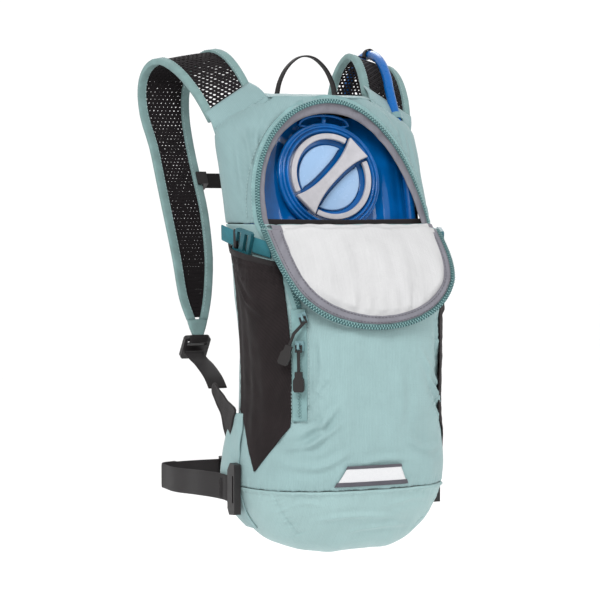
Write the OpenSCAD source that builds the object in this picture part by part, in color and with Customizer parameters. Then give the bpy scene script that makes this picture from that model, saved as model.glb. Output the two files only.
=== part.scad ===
// Hydration pack: a sewn pack shell with a water reservoir, drinking tube,
// shoulder straps, sternum strap and removable hip belt.
// Frame: +Z up, the pack's front faces -Y, the wearer's back lies on y = 0.

/* [Pack body] */
// Half width of the pack at its widest, in the upper third
body_half_w = 109; // [100:1:120]
// Depth of the pack at its fullest, in the lower half
body_depth = 103; // [92:1:116]
// Thickness of the shell fabric with its lining
fabric_t = 1.6; // [1.2:0.1:2.2]
// Thickness of the foam pads on the back
pad_t = 7; // [5:0.5:8]

/* [Opening and flap] */
// Half width of the arched opening at its foot
arch_half_w = 90; // [84:1:92]
// Height of the arched opening above the fold
arch_h = 118; // [110:1:118]
// Thickness of the folded flap, outer fabric with zip allowance
flap_t = 1.6; // [1.2:0.1:2]
// Thickness of the flap's lining
lining_t = 1.0; // [0.6:0.1:1.4]

/* [Reservoir] */
// Outer diameter of the reservoir cap
cap_d = 110; // [100:1:114]
// Outer diameter of the drinking tube
tube_d = 9.5; // [8:0.25:11]
// Thickness of the full reservoir
bag_t = 22; // [16:1:24]

/* [Straps] */
// Width of the shoulder strap pad where it leaves the pack
strap_w = 60; // [52:1:66]
// Thickness of the shoulder strap pad
strap_t = 6; // [4:0.5:8]
// Width of the strap's edge binding
binding_w = 9; // [7:0.5:11]
// Width of the shoulder strap's lower webbing
strap_web_w = 20; // [15:1:25]
// Width of the hip belt webbing
belt_web_w = 25; // [20:1:30]
// Width of the side compression webbing
side_web_w = 15; // [12:1:20]
// Width of the sternum strap webbing
sternum_web_w = 15; // [12:1:20]
// Width of the haul loop webbing
loop_web_w = 12; // [10:1:16]
// Thickness of all webbing
web_t = 1.6; // [1.2:0.1:2.2]
// How far the hip belt loop reaches behind the back face
belt_reach = 178; // [150:1:200]

/* [Zips] */
// Width of one zip half with its coil
zip_w = 4.5; // [3.5:0.5:6]
// Height of the zip coil above the fabric
zip_h = 2.4; // [1.8:0.2:3]
// Length of the moulded grip on each zip pull
grip_l = 18; // [14:1:22]

/* [Hidden] */

$fn = 48;
teal = [0.62, 0.75, 0.75];
teal_dark = [0.13, 0.42, 0.47];
black = [0.15, 0.14, 0.145];
lining_white = [0.88, 0.88, 0.88];
clear_blue = [0.08, 0.40, 0.82];
cap_grey = [0.78, 0.77, 0.78];
side_gap = 0.3;    // clearance between neighbouring sewn panels
web_clear = 0.6;   // clearance under webbing and trims

// ---- Pack profile -------------------------------------------------------
// Each station: height, share of the half width, share of the depth, back
// line y, and the exponent of the cross-section.
profile = [
  [-214, 0.04, 0.02, -38, 2.4], [-212, 0.37, 0.20, -34, 2.4],
  [-205, 0.60, 0.45, -24, 2.4], [-190, 0.79, 0.64, -16, 2.5],
  [-165, 0.92, 0.83, -11, 2.6], [-130, 0.955, 0.95, -9, 2.7],
  [-68, 0.90, 1.00, -8, 2.7], [0, 0.91, 0.98, -8, 2.7],
  [60, 0.955, 0.855, -8, 2.6], [104, 0.98, 0.70, 2, 2.3],
  [150, 1.00, 0.485, 13, 2.2], [188, 1.00, 0.39, 24, 2.2],
  [200, 0.955, 0.395, 28, 2.2], [212, 0.81, 0.405, 32, 2.2],
  [226, 0.59, 0.405, 36, 2.2]];
z_bottom = profile[0][0];
z_top = profile[len(profile) - 1][0];
z_seam = -148;     // bottom seam
z_fold = 104;      // fold line of the flap, foot of the arch
side_shift = body_half_w - 109;   // straps and belt move out with the sides

function unit(v) = v / norm(v);
function mix(a, b, t) = a + (b - a) * t;
function span(z) = min(len(profile) - 2,
  max(0, len([for (s = profile) if (s[0] <= z) 1]) - 1));
function rise(j, k) =
  let (a = max(0, j - 1), b = min(len(profile) - 1, j + 1))
  (profile[b][k] - profile[a][k]) / (profile[b][0] - profile[a][0]);
function at(z, k) =
  let (i = span(z), h = profile[i + 1][0] - profile[i][0],
       t = max(0, min(1, (z - profile[i][0]) / h)))
  (2 * pow(t, 3) - 3 * pow(t, 2) + 1) * profile[i][k]
  + (pow(t, 3) - 2 * pow(t, 2) + t) * h * rise(i, k)
  + (3 * pow(t, 2) - 2 * pow(t, 3)) * profile[i + 1][k]
  + (pow(t, 3) - pow(t, 2)) * h * rise(i + 1, k);
function half_w(z) = body_half_w * at(z, 1);
function depth(z) = body_depth * at(z, 2);
function back_y(z) = at(z, 3);
// A point of the pack's outer surface: angle 0 is the right back edge, 90 the
// middle of the front and 180 the left back edge.
function skin_at(a, z, off = 0) =
  let (w = half_w(z) + off, d = depth(z) + off, n = 2 / at(z, 4),
       c = cos(a), s = max(0, sin(a)))
  [w * sign(c) * pow(abs(c), n), back_y(z) - d * pow(s, n), z];
// The front surface's y at a given x and height.
function front_y(x, z, off = 0) =
  let (w = half_w(z) + off, d = depth(z) + off, n = at(z, 4),
       q = min(1, abs(x) / w))
  back_y(z) - d * pow(1 - pow(q, n), 1 / n);
function on_front(x, z, off = 0) = [x, front_y(x, z, off), z];
// The angle whose surface point has this x at this height.
function angle_at(x, z) =
  let (q = min(1, abs(x) / half_w(z)), c = pow(q, at(z, 4) / 2))
  x < 0 ? 180 - acos(c) : acos(c);

// ---- Solids from grids of points ---------------------------------------
// A closed thin solid between two grids of the same size.
module slab(outer, inner) {
  nr = len(outer);
  nc = len(outer[0]);
  n = nr * nc;
  quads = concat(
    [for (i = [0:nr - 2], j = [0:nc - 2])
      let (a = i * nc + j) [a, a + 1, a + nc + 1, a + nc]],
    [for (i = [0:nr - 2], j = [0:nc - 2])
      let (a = n + i * nc + j) [a, a + nc, a + nc + 1, a + 1]],
    [for (j = [0:nc - 2]) [j + 1, j, n + j, n + j + 1]],
    [for (j = [0:nc - 2]) let (a = (nr - 1) * nc + j)
      [a, a + 1, n + a + 1, n + a]],
    [for (i = [0:nr - 2]) let (a = i * nc) [a, a + nc, n + a + nc, n + a]],
    [for (i = [0:nr - 2]) let (a = i * nc + nc - 1)
      [a + nc, a, n + a, n + a + nc]]);
  polyhedron(
    points = concat([for (r = outer) each r], [for (r = inner) each r]),
    faces = [for (q = quads, k = [0, 1])
      k == 0 ? [q[0], q[1], q[2]] : [q[0], q[2], q[3]]]);
}
// Tangents along a path.
function tangents(p) = [for (i = [0:len(p) - 1])
  unit(p[min(len(p) - 1, i + 1)] - p[max(0, i - 1)])];
// A flat strip along a path. Each side direction points across the strip.
module strip(path, sides, widths, t, lift = 0) {
  tg = tangents(path);
  m = len(path) - 1;
  function width_at(i) = is_list(widths) ? widths[i] : widths;
  function nrm(i) = unit(cross(tg[i], sides[i]));
  function row(i, h) = [for (k = [-1, 1])
    path[i] + k * width_at(i) / 2 * sides[i] + h * nrm(i)];
  slab([for (i = [0:m]) row(i, lift + t / 2)],
       [for (i = [0:m]) row(i, lift - t / 2)]);
}
// A round tube along a path.
module tube(path, r, n = 10) {
  tg = tangents(path);
  m = len(path);
  rings = [for (i = [0:m - 1])
    let (u = unit(cross(tg[i], [0.31, 0.17, 0.94])), v = cross(tg[i], u))
    [for (k = [0:n - 1]) path[i] + r * (cos(360 * k / n) * u
      + sin(360 * k / n) * v)]];
  polyhedron(
    points = [for (q = rings) each q],
    faces = concat(
      [[for (k = [0:n - 1]) n - 1 - k]],
      [[for (k = [0:n - 1]) (m - 1) * n + k]],
      [for (i = [0:m - 2], k = [0:n - 1], h = [0, 1])
        let (a = i * n + k, b = i * n + (k + 1) % n)
        h == 0 ? [a, b, b + n] : [a, b + n, a + n]]));
}
// A smooth curve through hand-placed points.
function curve(p, steps = 4) = [for (i = [0:len(p) - 2], k = [0:steps - 1])
    let (a = p[max(0, i - 1)], b = p[i], c = p[i + 1],
         d = p[min(len(p) - 1, i + 2)], t = k / steps)
    b + (c - a) * t / 2 + (2 * a - 5 * b + 4 * c - d) * t * t / 2
    + (3 * b - a - 3 * c + d) * t * t * t / 2];
function curve_to_end(p, steps = 4) = concat(curve(p, steps),
  [p[len(p) - 1]]);
module both() {
  children();
  mirror([1, 0, 0]) children();
}
// Places a flat part on a surface frame: x along u, z along the normal n.
module place(p, u, n) {
  c = unit(n);
  a = unit(u - (u * c) * c);
  b = cross(c, a);
  multmatrix([[a[0], b[0], c[0], p[0]], [a[1], b[1], c[1], p[1]],
              [a[2], b[2], c[2], p[2]], [0, 0, 0, 1]]) children();
}
// A rectangular plate with rounded corners, made of exact pieces.
module plate(l, w, t, r) {
  union() {
    translate([-l / 2 + r, -w / 2, 0]) cube([l - 2 * r, w, t]);
    translate([-l / 2, -w / 2 + r, 0]) cube([l, w - 2 * r, t]);
    for (x = [-1, 1], y = [-1, 1])
      translate([x * (l / 2 - r), y * (w / 2 - r), 0]) cylinder(r = r, h = t);
  }
}

// ---- Shell --------------------------------------------------------------
corner_a = 45;     // angle where the front panel meets the side panels
function panel(a0, a1, na, z0, z1, nz, off) = [for (i = [0:nz])
  [for (j = [0:na]) skin_at(mix(a0, a1, j / na), mix(z0, z1, i / nz), off)]];
module skin_panel(a0, a1, na, z0, z1, nz) {
  slab(panel(a0, a1, na, z0, z1, nz, 0),
       panel(a0, a1, na, z0, z1, nz, -fabric_t));
}
module front_panel() {
  color(teal) skin_panel(corner_a + side_gap, 180 - corner_a - side_gap, 14,
    z_seam + side_gap, z_fold - 1, 14);
}
module side_panel() {
  color(teal) skin_panel(180 - corner_a + side_gap, 180, 6,
    z_seam + side_gap, z_fold - 1, 14);
}
module bottom_panel() {
  color(teal) skin_panel(0, 180, 22, z_bottom, z_seam - side_gap, 8);
}
// The arch band runs from the opening's edge out to the back outline.
arch_edge = 0.5;   // the fabric's edge lies this far outside the zip line
function arch(s, out = 0) = [-(arch_half_w + out) * cos(s),
  z_fold + (arch_h + out * 0.6) * sin(s)];
top_from = 55;     // arch angle from which the band runs to the top edge
function outline(s) =
  s < top_from ? [180, mix(z_fold, z_top, s / top_from)]
  : s > 180 - top_from ? [0, mix(z_fold, z_top, (180 - s) / top_from)]
  : [180 * (180 - top_from - s) / (180 - 2 * top_from), z_top];
function band_point(s, t, off) =
  let (e = arch(s, arch_edge), o = outline(s), ea = angle_at(e[0], e[1]))
  skin_at(mix(ea, o[0], t), mix(min(e[1], z_top - 1), o[1], t), off);
module upper_panel() {
  ns = 32;
  nt = 5;
  color(teal) difference() {
    slab([for (j = [0:nt]) [for (i = [0:ns])
           band_point(mix(180, 0, i / ns), j / nt, 0)]],
         [for (j = [0:nt]) [for (i = [0:ns])
           band_point(mix(180, 0, i / ns), j / nt, -fabric_t)]]);
    place(tube_path[port_index], tube_side, tube_path[port_index + 1]
      - tube_path[port_index]) translate([0, 0, -15])
      cylinder(d = tube_d + 4, h = 30);
  }
}
function top_point(a, t, off) =
  let (p = skin_at(a, z_top, 0))
  [p[0] * (1 - 0.04 * t), mix(p[1], back_y(z_top) - 0.5, t),
   z_top + 0.6 + 3 * sin(90 * t) + off];
module top_panel() {
  color(teal) slab(
    [for (i = [0:16]) [for (j = [0:4]) top_point(3 + 174 * i / 16,
      j / 4, fabric_t)]],
    [for (i = [0:16]) [for (j = [0:4]) top_point(3 + 174 * i / 16,
      j / 4, 0)]]);
}
function back_grid(off) = [for (i = [0:20]) let (z = mix(-204, z_top, i / 20))
  [for (x = [-1:0.25:1]) [x * (half_w(z) - 0.5), back_y(z) + off, z]]];
module back_panel() {
  color(black) slab(back_grid(0.4 + fabric_t), back_grid(0.4));
}
pad_w = 150;
pad_mid = [-62, 46];     // heights between which the flat pad lies
module back_pad() {
  color(black) translate([0, 0, (pad_mid[0] + pad_mid[1]) / 2])
    rotate([-90, 0, 0]) translate([0, 0, -pad_t + 1.4])
    plate(pad_w, pad_mid[1] - pad_mid[0], pad_t - 1.4, 18);
}
function pad_grid(z0, z1, w, off) = [for (i = [0:6])
  let (z = mix(z0, z1, i / 6), e = 1 - 0.25 * pow(abs(2 * i / 6 - 1), 3))
  [for (x = [-1:0.25:1]) [x * w * e / 2,
    back_y(z) + 0.4 + fabric_t + 0.8 + off * (1 - 0.35 * pow(abs(x), 4)), z]]];
module back_pads_outer() {
  for (p = [[-160, -72, pad_w], [60, 172, pad_w]])
    color(black) slab(pad_grid(p[0], p[1], p[2], pad_t),
      pad_grid(p[0], p[1], p[2], 0));
}

// ---- Side pockets -------------------------------------------------------
pocket_from = 137.5;   // angle of the pocket's front seam
pocket_bulge = 16;
function pocket_top(a) = mix(66, 84, (a - pocket_from) / 42);
function pocket_foot(a) = a < 162 ? mix(-86, -132, (a - pocket_from) / 25)
  : mix(-132, -74, (a - 162) / 17);
function pocket_grid(off) = [for (i = [0:10]) [for (j = [0:8])
  let (a = mix(pocket_from, 179, j / 8), t = i / 10)
  skin_at(a, mix(pocket_foot(a), pocket_top(a), t),
    web_clear + off + pocket_bulge * pow(t, 1.4) * sin(180 * j / 8))]];
module side_pocket() {
  color(black) slab(pocket_grid(1.2), pocket_grid(0));
}

// ---- Inside -------------------------------------------------------------
function divider_y(z) = mix(-33, -41, min(1, max(0, (107 - z) / 80)));
function divider_half(z) =
  let (n = at(z, 4), q = (back_y(z) - divider_y(z)) / (depth(z) - fabric_t))
  (half_w(z) - fabric_t) * pow(1 - pow(q, n), 1 / n) - 6;
module sleeve_divider() {
  color(black) slab(
    [for (i = [0:10]) let (z = mix(-186, 107, i / 10)) [for (x = [-1:0.5:1])
      [x * divider_half(z), divider_y(z) - 1.4, z]]],
    [for (i = [0:10]) let (z = mix(-186, 107, i / 10)) [for (x = [-1:0.5:1])
      [x * divider_half(z), divider_y(z), z]]]);
}
bag_half_w = 72;
bag_top_half_w = 90;
bag_z = [-165, 196];
function bag_full(z) = z > 100 ? mix(0.30, 0.22, (z - 100) / 96)
  : z > 60 ? mix(0.78, 0.30, (z - 60) / 40)
  : z > -140 ? mix(1, 0.78, max(0, (z + 40) / 100))
  : mix(0.15, 1, (z + 165) / 25);
function bag_w(z) = mix(bag_half_w, bag_top_half_w,
  min(1, max(0, (z - 60) / 40))) * (z > 150 ? mix(1, 0.62,
  pow((z - 150) / 46, 2)) : z < -140 ? mix(0.8, 1, (z + 165) / 25) : 1);
function bag_grid(front) = [for (i = [0:14])
  let (z = mix(bag_z[0], bag_z[1], i / 14))
  [for (x = [-1:0.2:1]) [x * bag_w(z), back_y(z) - 4
    - (front ? 1 + bag_t * bag_full(z) * (1 - pow(abs(x), 3)) : 0), z]]];
module reservoir_bag() {
  color(clear_blue) difference() {
    slab(bag_grid(true), bag_grid(false));
    at_cap() translate([0, 0, -18.4]) cylinder(d = cap_d - 10, h = 40);
    at_cap() translate([0, 0, -15]) cylinder(d = cap_d + 2, h = 40);
    at_cap() translate([0, 0, -24]) cylinder(d = cap_d - 40, h = 40);
  }
}
cap_lean = 13;     // the cap leans back with the top of the pack
cap_p = [0, -16, 150];   // centre of the handle's outer face
module at_cap() {
  translate(cap_p) rotate([90 - cap_lean, 0, 0]) children();
}
module reservoir_neck() {
  color(clear_blue) at_cap() translate([0, 0, -18]) rotate_extrude()
    polygon([[cap_d / 2 - 17, 0], [cap_d / 2 - 6, 0], [cap_d / 2 - 6, 2],
      [cap_d / 2 - 9, 2], [cap_d / 2 - 9, 6.5], [cap_d / 2 - 17, 6.5]]);
}
module reservoir_cap() {
  color(clear_blue) at_cap() translate([0, 0, -14]) rotate_extrude()
    polygon([[0, 4], [cap_d / 2 - 8.5, 4], [cap_d / 2 - 8.5, -0.5],
      [cap_d / 2 - 4, -0.5], [cap_d / 2, 2.5], [cap_d / 2, 5],
      [cap_d / 2 - 2, 7.5], [cap_d / 2 - 6, 10],
      [cap_d / 2 - 9, 10], [cap_d / 2 - 9, 8.5], [cap_d / 2 - 20, 8.5],
      [cap_d / 2 - 21, 6], [0, 6]]);
}
// The handle is a rim of two arcs joined by a flared bar.
handle_turn = 42;
module cap_handle() {
  r_out = cap_d / 2 - 11.8;
  r_in = r_out - 5.6;
  color(cap_grey) at_cap() rotate([0, 0, handle_turn]) union() {
    for (s = [0, 180]) rotate([0, 0, s]) translate([0, 0, -5])
      rotate([0, 0, 19]) rotate_extrude(angle = 141)
      polygon([[r_in, 0], [r_out, 0], [r_out, 3.4], [r_in, 3.4]]);
    translate([0, 0, -5]) linear_extrude(5) polygon(concat(
      [for (x = [-1:0.1:1]) [x * r_out, 5.4 + 7.8 * pow(abs(x), 3)]],
      [for (x = [1:-0.1:-1]) [x * r_out, -5.4 - 7.8 * pow(abs(x), 3)]]));
  }
}
module reservoir_hanger() {
  z0 = 143 + cap_d / 2;
  path = curve_to_end([for (a = [0:22.5:180])
    [-27 * cos(a), back_y(z0) - 20, z0 + 11 * sin(a)]], 2);
  color(clear_blue) strip(path, [for (p = path) [0, 1, 0]], 6, 3);
}

// ---- Drinking tube ------------------------------------------------------
// The strap's own path gives the part that lies on the right strap.
strap_points = [[-86, 36, 217], [-92, 54, 241], [-98, 80, 261],
  [-103, 110, 269], [-106, 138, 260], [-107, 154, 240], [-105, 157, 212],
  [-103, 144, 180], [-103, 126, 146], [-103, 108, 112], [-98, 103, 68],
  [-95, 104, 30], [-94, 101, 6]];
strap_sides = [[-0.83, -0.12, -0.54], [-0.88, -0.1, -0.46],
  [-0.94, 0.02, -0.33], [-0.97, 0.13, -0.18], [-0.99, 0.13, -0.06],
  [-1, 0.08, 0], [-1, 0.04, 0], [-1, 0, 0], [-1, 0, 0], [-1, 0, 0],
  [-1, 0, 0], [-1, 0, 0], [-1, 0, 0]];
strap_path = [for (p = curve_to_end(strap_points, 3))
  p - [side_shift, 0, 0]];
strap_sideways = [for (v = curve_to_end(strap_sides, 3)) unit(v)];
strap_tg = tangents(strap_path);
function flip_x(p) = [-p[0], p[1], p[2]];
function strap_normal(i) = unit(cross(strap_tg[i], strap_sideways[i]));
function on_strap(i, lift) = strap_path[i] + lift * strap_normal(i);
tube_lift = strap_t / 2 + tube_d / 2 + web_clear;
keeper_at = [9, 21];   // strap stations of the webbing loops over the tube
tube_from = 2;     // strap station where the tube comes to lie on the strap
tube_to = 25;      // strap station where the tube reaches the valve
tube_inside = [[38, -24, -178], [58, -27, -175], [76, -28, -155],
  [84, -26, -118], [86, -24, -60], [86, -23, 10], [87, -18, 80],
  [88, -6, 140], [88, 6, 178], [88.5, 20, 208]];
tube_inside_path = curve_to_end(tube_inside, 3);
port_index = len(tube_inside_path) - 1;
tube_path = concat(tube_inside_path,
  [for (i = [tube_from:tube_to]) flip_x(on_strap(i, tube_lift
    + 2.2 * max(0, i - keeper_at[1])))]);
tube_side = [1, 0, 0];
module drink_tube() {
  color(clear_blue) tube(tube_path, tube_d / 2, 10);
}
module tube_port() {
  color(black) place(tube_path[port_index], tube_side,
    tube_path[port_index + 1] - tube_path[port_index])
    translate([0, 0, -3]) difference() {
      cylinder(d = tube_d + 3.8, h = 7);
      translate([0, 0, -1]) cylinder(d = tube_d + 1.6, h = 9);
    }
}
module tube_elbow() {
  color(clear_blue) place(tube_path[0], [0, 0, 1], [-1, 0, 0]) {
    translate([0, 0, 2.2]) cylinder(d = tube_d + 3, h = 12);
    translate([0, 0, 14.2]) cylinder(d = tube_d + 7, h = 4);
    translate([0, 0, 18.2]) rotate([0, 90, 0]) translate([0, 0, -7])
      cylinder(d = tube_d, h = 14);
  }
}
keeper_w = strap_w * 0.8 - 2 * binding_w - 4;
module tube_keepers() {
  for (k = keeper_at)
    color(black) place(flip_x(strap_path[k]), flip_x(strap_sideways[k]),
      flip_x(strap_normal(k))) difference() {
      translate([-keeper_w / 2, -6, strap_t / 2 + 0.2])
        cube([keeper_w, 12, tube_d + 3]);
      translate([1.6 - keeper_w / 2, -7, strap_t / 2 - 1])
        cube([keeper_w - 3.2, 14, tube_d + 2.6]);
    }
}
valve_end = tube_path[len(tube_path) - 1];
valve_dir = valve_end - tube_path[len(tube_path) - 2];
module at_valve() {
  place(valve_end, [1, 0, 0], valve_dir) children();
}
lever_at = 13;     // distance of the shut-off lever's axis from the tube end
module valve_body() {
  color(black) at_valve() union() {
    translate([0, 0, 0.2]) cylinder(d = tube_d + 4, h = 26);
    translate([0, 0, lever_at]) rotate([90, 0, 0])
      translate([0, 0, -10.5]) cylinder(d = 5, h = 21);
  }
}
module valve_lever() {
  color(clear_blue) at_valve() translate([0, 0, lever_at]) {
    difference() {
      union() {
        for (y = [-1, 1]) translate([0, y * 9, 0]) rotate([90, 0, 0])
          translate([0, 0, -1.3]) cylinder(d = 10, h = 2.6);
        for (y = [-1, 1]) translate([0, y * 9 - 1.3, -4])
          cube([14, 2.6, 8]);
        translate([11.5, -10.3, -1.6]) cube([2.5, 20.6, 3.2]);
      }
      rotate([90, 0, 0]) translate([0, 0, -12]) cylinder(d = 5.5, h = 24);
    }
  }
}
module mouthpiece() {
  color([0.35, 0.62, 0.92]) at_valve() translate([0, 0, 26.4])
    rotate_extrude() polygon([[0, 0], [6.5, 0], [8.5, 4], [8.5, 10],
      [6, 15], [7, 22], [5.5, 28], [2, 30], [0, 30]]);
}

// ---- Shoulder straps ----------------------------------------------------
strap_taper = [1, 1, 0.99, 0.97, 0.94, 0.92, 0.88, 0.80, 0.80, 0.80, 0.72,
  0.58, 0.36];
strap_width = [for (v = curve_to_end([for (t = strap_taper) [t, 0, 0]], 3))
  strap_w * v[0]];
strap_n = len(strap_path) - 1;
module strap_pad() {
  color(black) strip(strap_path, strap_sideways,
    [for (w = strap_width) w - 2 * binding_w], strap_t);
}
module strap_binding() {
  for (k = [-1, 1])
    color(teal) strip([for (i = [0:strap_n]) strap_path[i] + k
      * (strap_width[i] / 2 - binding_w / 2 + 0.2) * strap_sideways[i]],
      strap_sideways, binding_w - 0.6, strap_t + 1);
  tip = strap_path[strap_n];
  color(teal) strip([tip - [0, 0, 0.4], tip - [0, 1, 8], tip - [0, 3, 14]],
    [[-1, 0, 0], [-1, 0, 0], [-1, 0, 0]], [22, 17, 9], strap_t);
}
// Ladder lock: a frame with two slots, its plane across the webbing.
module ladder_lock(w, l, t) {
  difference() {
    plate(w + 8, l, t, 3);
    for (y = [-l / 4 + 0.6, l / 4 - 0.2]) translate([-w / 2 - 0.6,
      y - 2.6, -1]) cube([w + 1.2, 5.2, t + 2]);
  }
}
buckle_p = [-94 - side_shift, 107, -21];
buckle_tilt = 35;
module strap_buckle() {
  color(black) translate(buckle_p) rotate([buckle_tilt, 0, 0])
    rotate([90, 0, 0]) translate([0, 0, -2.5])
    ladder_lock(strap_web_w, 26, 5);
}
strap_web_path = curve_to_end([[-94, 110.4, -25.8], [-94, 106, -29],
  [-94, 97, -33], [-95, 80, -38], [-96, 58, -48], [-97, 44, -58]], 3);
strap_web_top = curve_to_end([[-94, 97, -8.8], [-94, 95.7, -12],
  [-94, 98, -15.8], [-94, 102.5, -16.6]], 3);
module strap_webs() {
  for (p = [strap_web_path, strap_web_top]) both() color(black)
    translate([-side_shift, 0, 0])
    strip(p, [for (q = p) [1, 0, 0]], strap_web_w, web_t);
}
wing_x = -103 - side_shift;   // the wings stand just outside the side panels' back edge
module strap_wings() {
  both() color(black) translate([wing_x - 1.2, 0, 0]) rotate([90, 0, 90])
    linear_extrude(2.4) polygon([[2, -118], [-8, -84], [-14, -74],
      [4, -68], [24, -58], [36, -52], [41, -60], [36, -68], [22, -80]]);
}

// ---- Sternum strap ------------------------------------------------------
glider_at = 24;          // strap station of the gliders
glider_p = strap_path[glider_at] - strap_width[glider_at] / 2
  * strap_sideways[glider_at];
sternum_y = glider_p[1];
sternum_z = glider_p[2];
glider_in = 5;           // reach of a glider inside the strap's edge
buckle_half = 21;        // half length of the closed sternum buckle
module sternum_rail() {
  color(black) place(glider_p, [1, 0, 0], strap_tg[glider_at])
    difference() {
      translate([-6, -strap_t / 2 - 3.4, -7])
        cube([6 + glider_in, strap_t + 6.8, 14]);
      translate([-7, -strap_t / 2 - 1.2, -8])
        cube([7.9, strap_t + 2.4, 16]);
    }
}
module sternum_web() {
  x0 = glider_p[0] + glider_in + 0.3;
  color(black) strip([[x0, sternum_y, sternum_z],
    [-62, sternum_y + 3, sternum_z], [-42, sternum_y + 4, sternum_z],
    [-buckle_half - 0.3, sternum_y + 4, sternum_z]],
    [[0, 0, 1], [0, 0, 1], [0, 0, 1], [0, 0, 1]], sternum_web_w, web_t);
}
// Side-release buckles: a female shell with a slot, and a male with prongs.
module buckle_female(w, l, t) {
  difference() {
    translate([0, -t / 2, -w / 2 - 2.5]) cube([l, t, w + 5]);
    translate([-1, -t / 2 + 1.2, -w / 2 - 0.5])
      cube([l * 0.66, t - 2.4, w + 1]);
    for (z = [-1, 1]) translate([l * 0.25, -t, z * (w / 2 + 2.5) - 1.5])
      cube([l * 0.3, 2 * t, 3]);
    translate([l - 5, -t, -w / 2]) cube([2.4, 2 * t, w]);
  }
}
module buckle_male(w, l, t) {
  reach = l * 0.36;
  union() {
    difference() {
      translate([-l * 0.42, -t / 2, -w / 2 - 2.5])
        cube([l * 0.42 - 0.4, t, w + 5]);
      translate([-l * 0.42 - 1, -1.8, -w / 2 - 0.6])
        cube([l * 0.42 - 1, 3.6, w + 1.2]);
      translate([-l * 0.42 + 2.6, -t, -w / 2]) cube([2.4, 2 * t, w]);
    }
    for (z = [-1, 1]) translate([-0.6, -t / 2 + 1.6,
      z * (w / 2 - 2.4) - 1.5]) cube([reach, t - 3.2, 3]);
    translate([-0.6, -t / 2 + 1.6, -1.2]) cube([reach * 0.8, t - 3.2, 2.4]);
  }
}
module sternum_buckle_male() {
  color(black) translate([-4, sternum_y + 4, sternum_z])
    buckle_male(sternum_web_w, 40, 8);
}
module sternum_buckle_female() {
  color(black) translate([-4, sternum_y + 4, sternum_z])
    buckle_female(sternum_web_w, 24, 8);
}

// ---- Haul loop ----------------------------------------------------------
haul_y = 44.4;
haul_path = curve_to_end([[-32, haul_y, 231], [-29, haul_y, 243],
  [-22, haul_y, 256], [-11, haul_y, 266], [0, haul_y, 269],
  [11, haul_y, 266], [22, haul_y, 256], [29, haul_y, 243],
  [32, haul_y, 231]], 3);
module haul_loop() {
  color(black) strip(haul_path, [for (p = haul_path) [0, 1, 0]],
    loop_web_w, web_t);
}

// ---- Side compression straps -------------------------------------------
function side_web_z(a) = mix(76, 95, (a - 136) / 44);
function side_web_points(a0, a1, n, off) = [for (i = [0:n])
  let (a = mix(a0, a1, i / n)) skin_at(a, side_web_z(a), off)];
side_off = 6;
side_buckle_a = 160;
module side_web() {
  upper = side_web_points(179.6, 168.5, 6, side_off);
  lower = side_web_points(152.5, 146, 4, 3.6);
  color(teal_dark) for (p = [upper, lower])
    strip(p, [for (q = p) unit([0.02, 0.1, 1])], side_web_w, web_t);
}
side_p = skin_at(side_buckle_a, side_web_z(side_buckle_a), side_off + 0.4);
side_u = skin_at(side_buckle_a - 4, side_web_z(side_buckle_a - 4), side_off)
  - skin_at(side_buckle_a + 4, side_web_z(side_buckle_a + 4), side_off);
module side_buckle() {
  n = cross([0, 0, 1], side_u);
  color(teal_dark) place(side_p, side_u, n)
    rotate([0, 0, 90]) translate([0, 0, -2])
    ladder_lock(side_web_w, 22, 4);
}

// ---- Hip belt -----------------------------------------------------------
belt_z = -150;
toggle_x = -111 - side_shift;
belt_corner = 12;
belt_path = concat(
  curve([[toggle_x, -12, belt_z], [toggle_x - 1, 20, belt_z - 1],
    [toggle_x - 1, 70, belt_z - 3], [toggle_x + 1, 120, belt_z - 5],
    [toggle_x + 6, belt_reach - belt_corner, belt_z - 7]], 3),
  [for (a = [0:15:75]) [toggle_x + 6 + belt_corner * (1 - cos(a)),
    belt_reach - belt_corner + belt_corner * sin(a), belt_z - 7]],
  [[toggle_x + 6 + belt_corner, belt_reach, belt_z - 7],
   [-64, belt_reach + 4, belt_z - 7], [-34, belt_reach + 4, belt_z - 7]]);
belt_sides = [for (p = belt_path) [0, 0, 1]];
module belt_web() {
  color(black) strip(belt_path, belt_sides, belt_web_w, web_t);
}
// Moulded toggles hold the belt's ends, so that the belt comes off.
module belt_toggles() {
  both() color(black) translate([toggle_x - 1.6, -21, belt_z])
    rotate([0, 90, 0]) rotate([0, 0, 90]) difference() {
      linear_extrude(7) polygon([[-8, -24], [4, -25], [8, -19], [8, 18],
        [2, 25], [-8, 24]]);
      translate([-6, -belt_web_w / 2 - 0.6, -1]) cube([3, belt_web_w + 1.2, 9]);
    }
}
module belt_buckle_female() {
  color(black) translate([-6, belt_reach + 4, belt_z - 7])
    buckle_female(belt_web_w, 39, 10);
}
module belt_buckle_male() {
  color(black) translate([-6, belt_reach + 4, belt_z - 7])
    buckle_male(belt_web_w, 64, 10);
}

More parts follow.
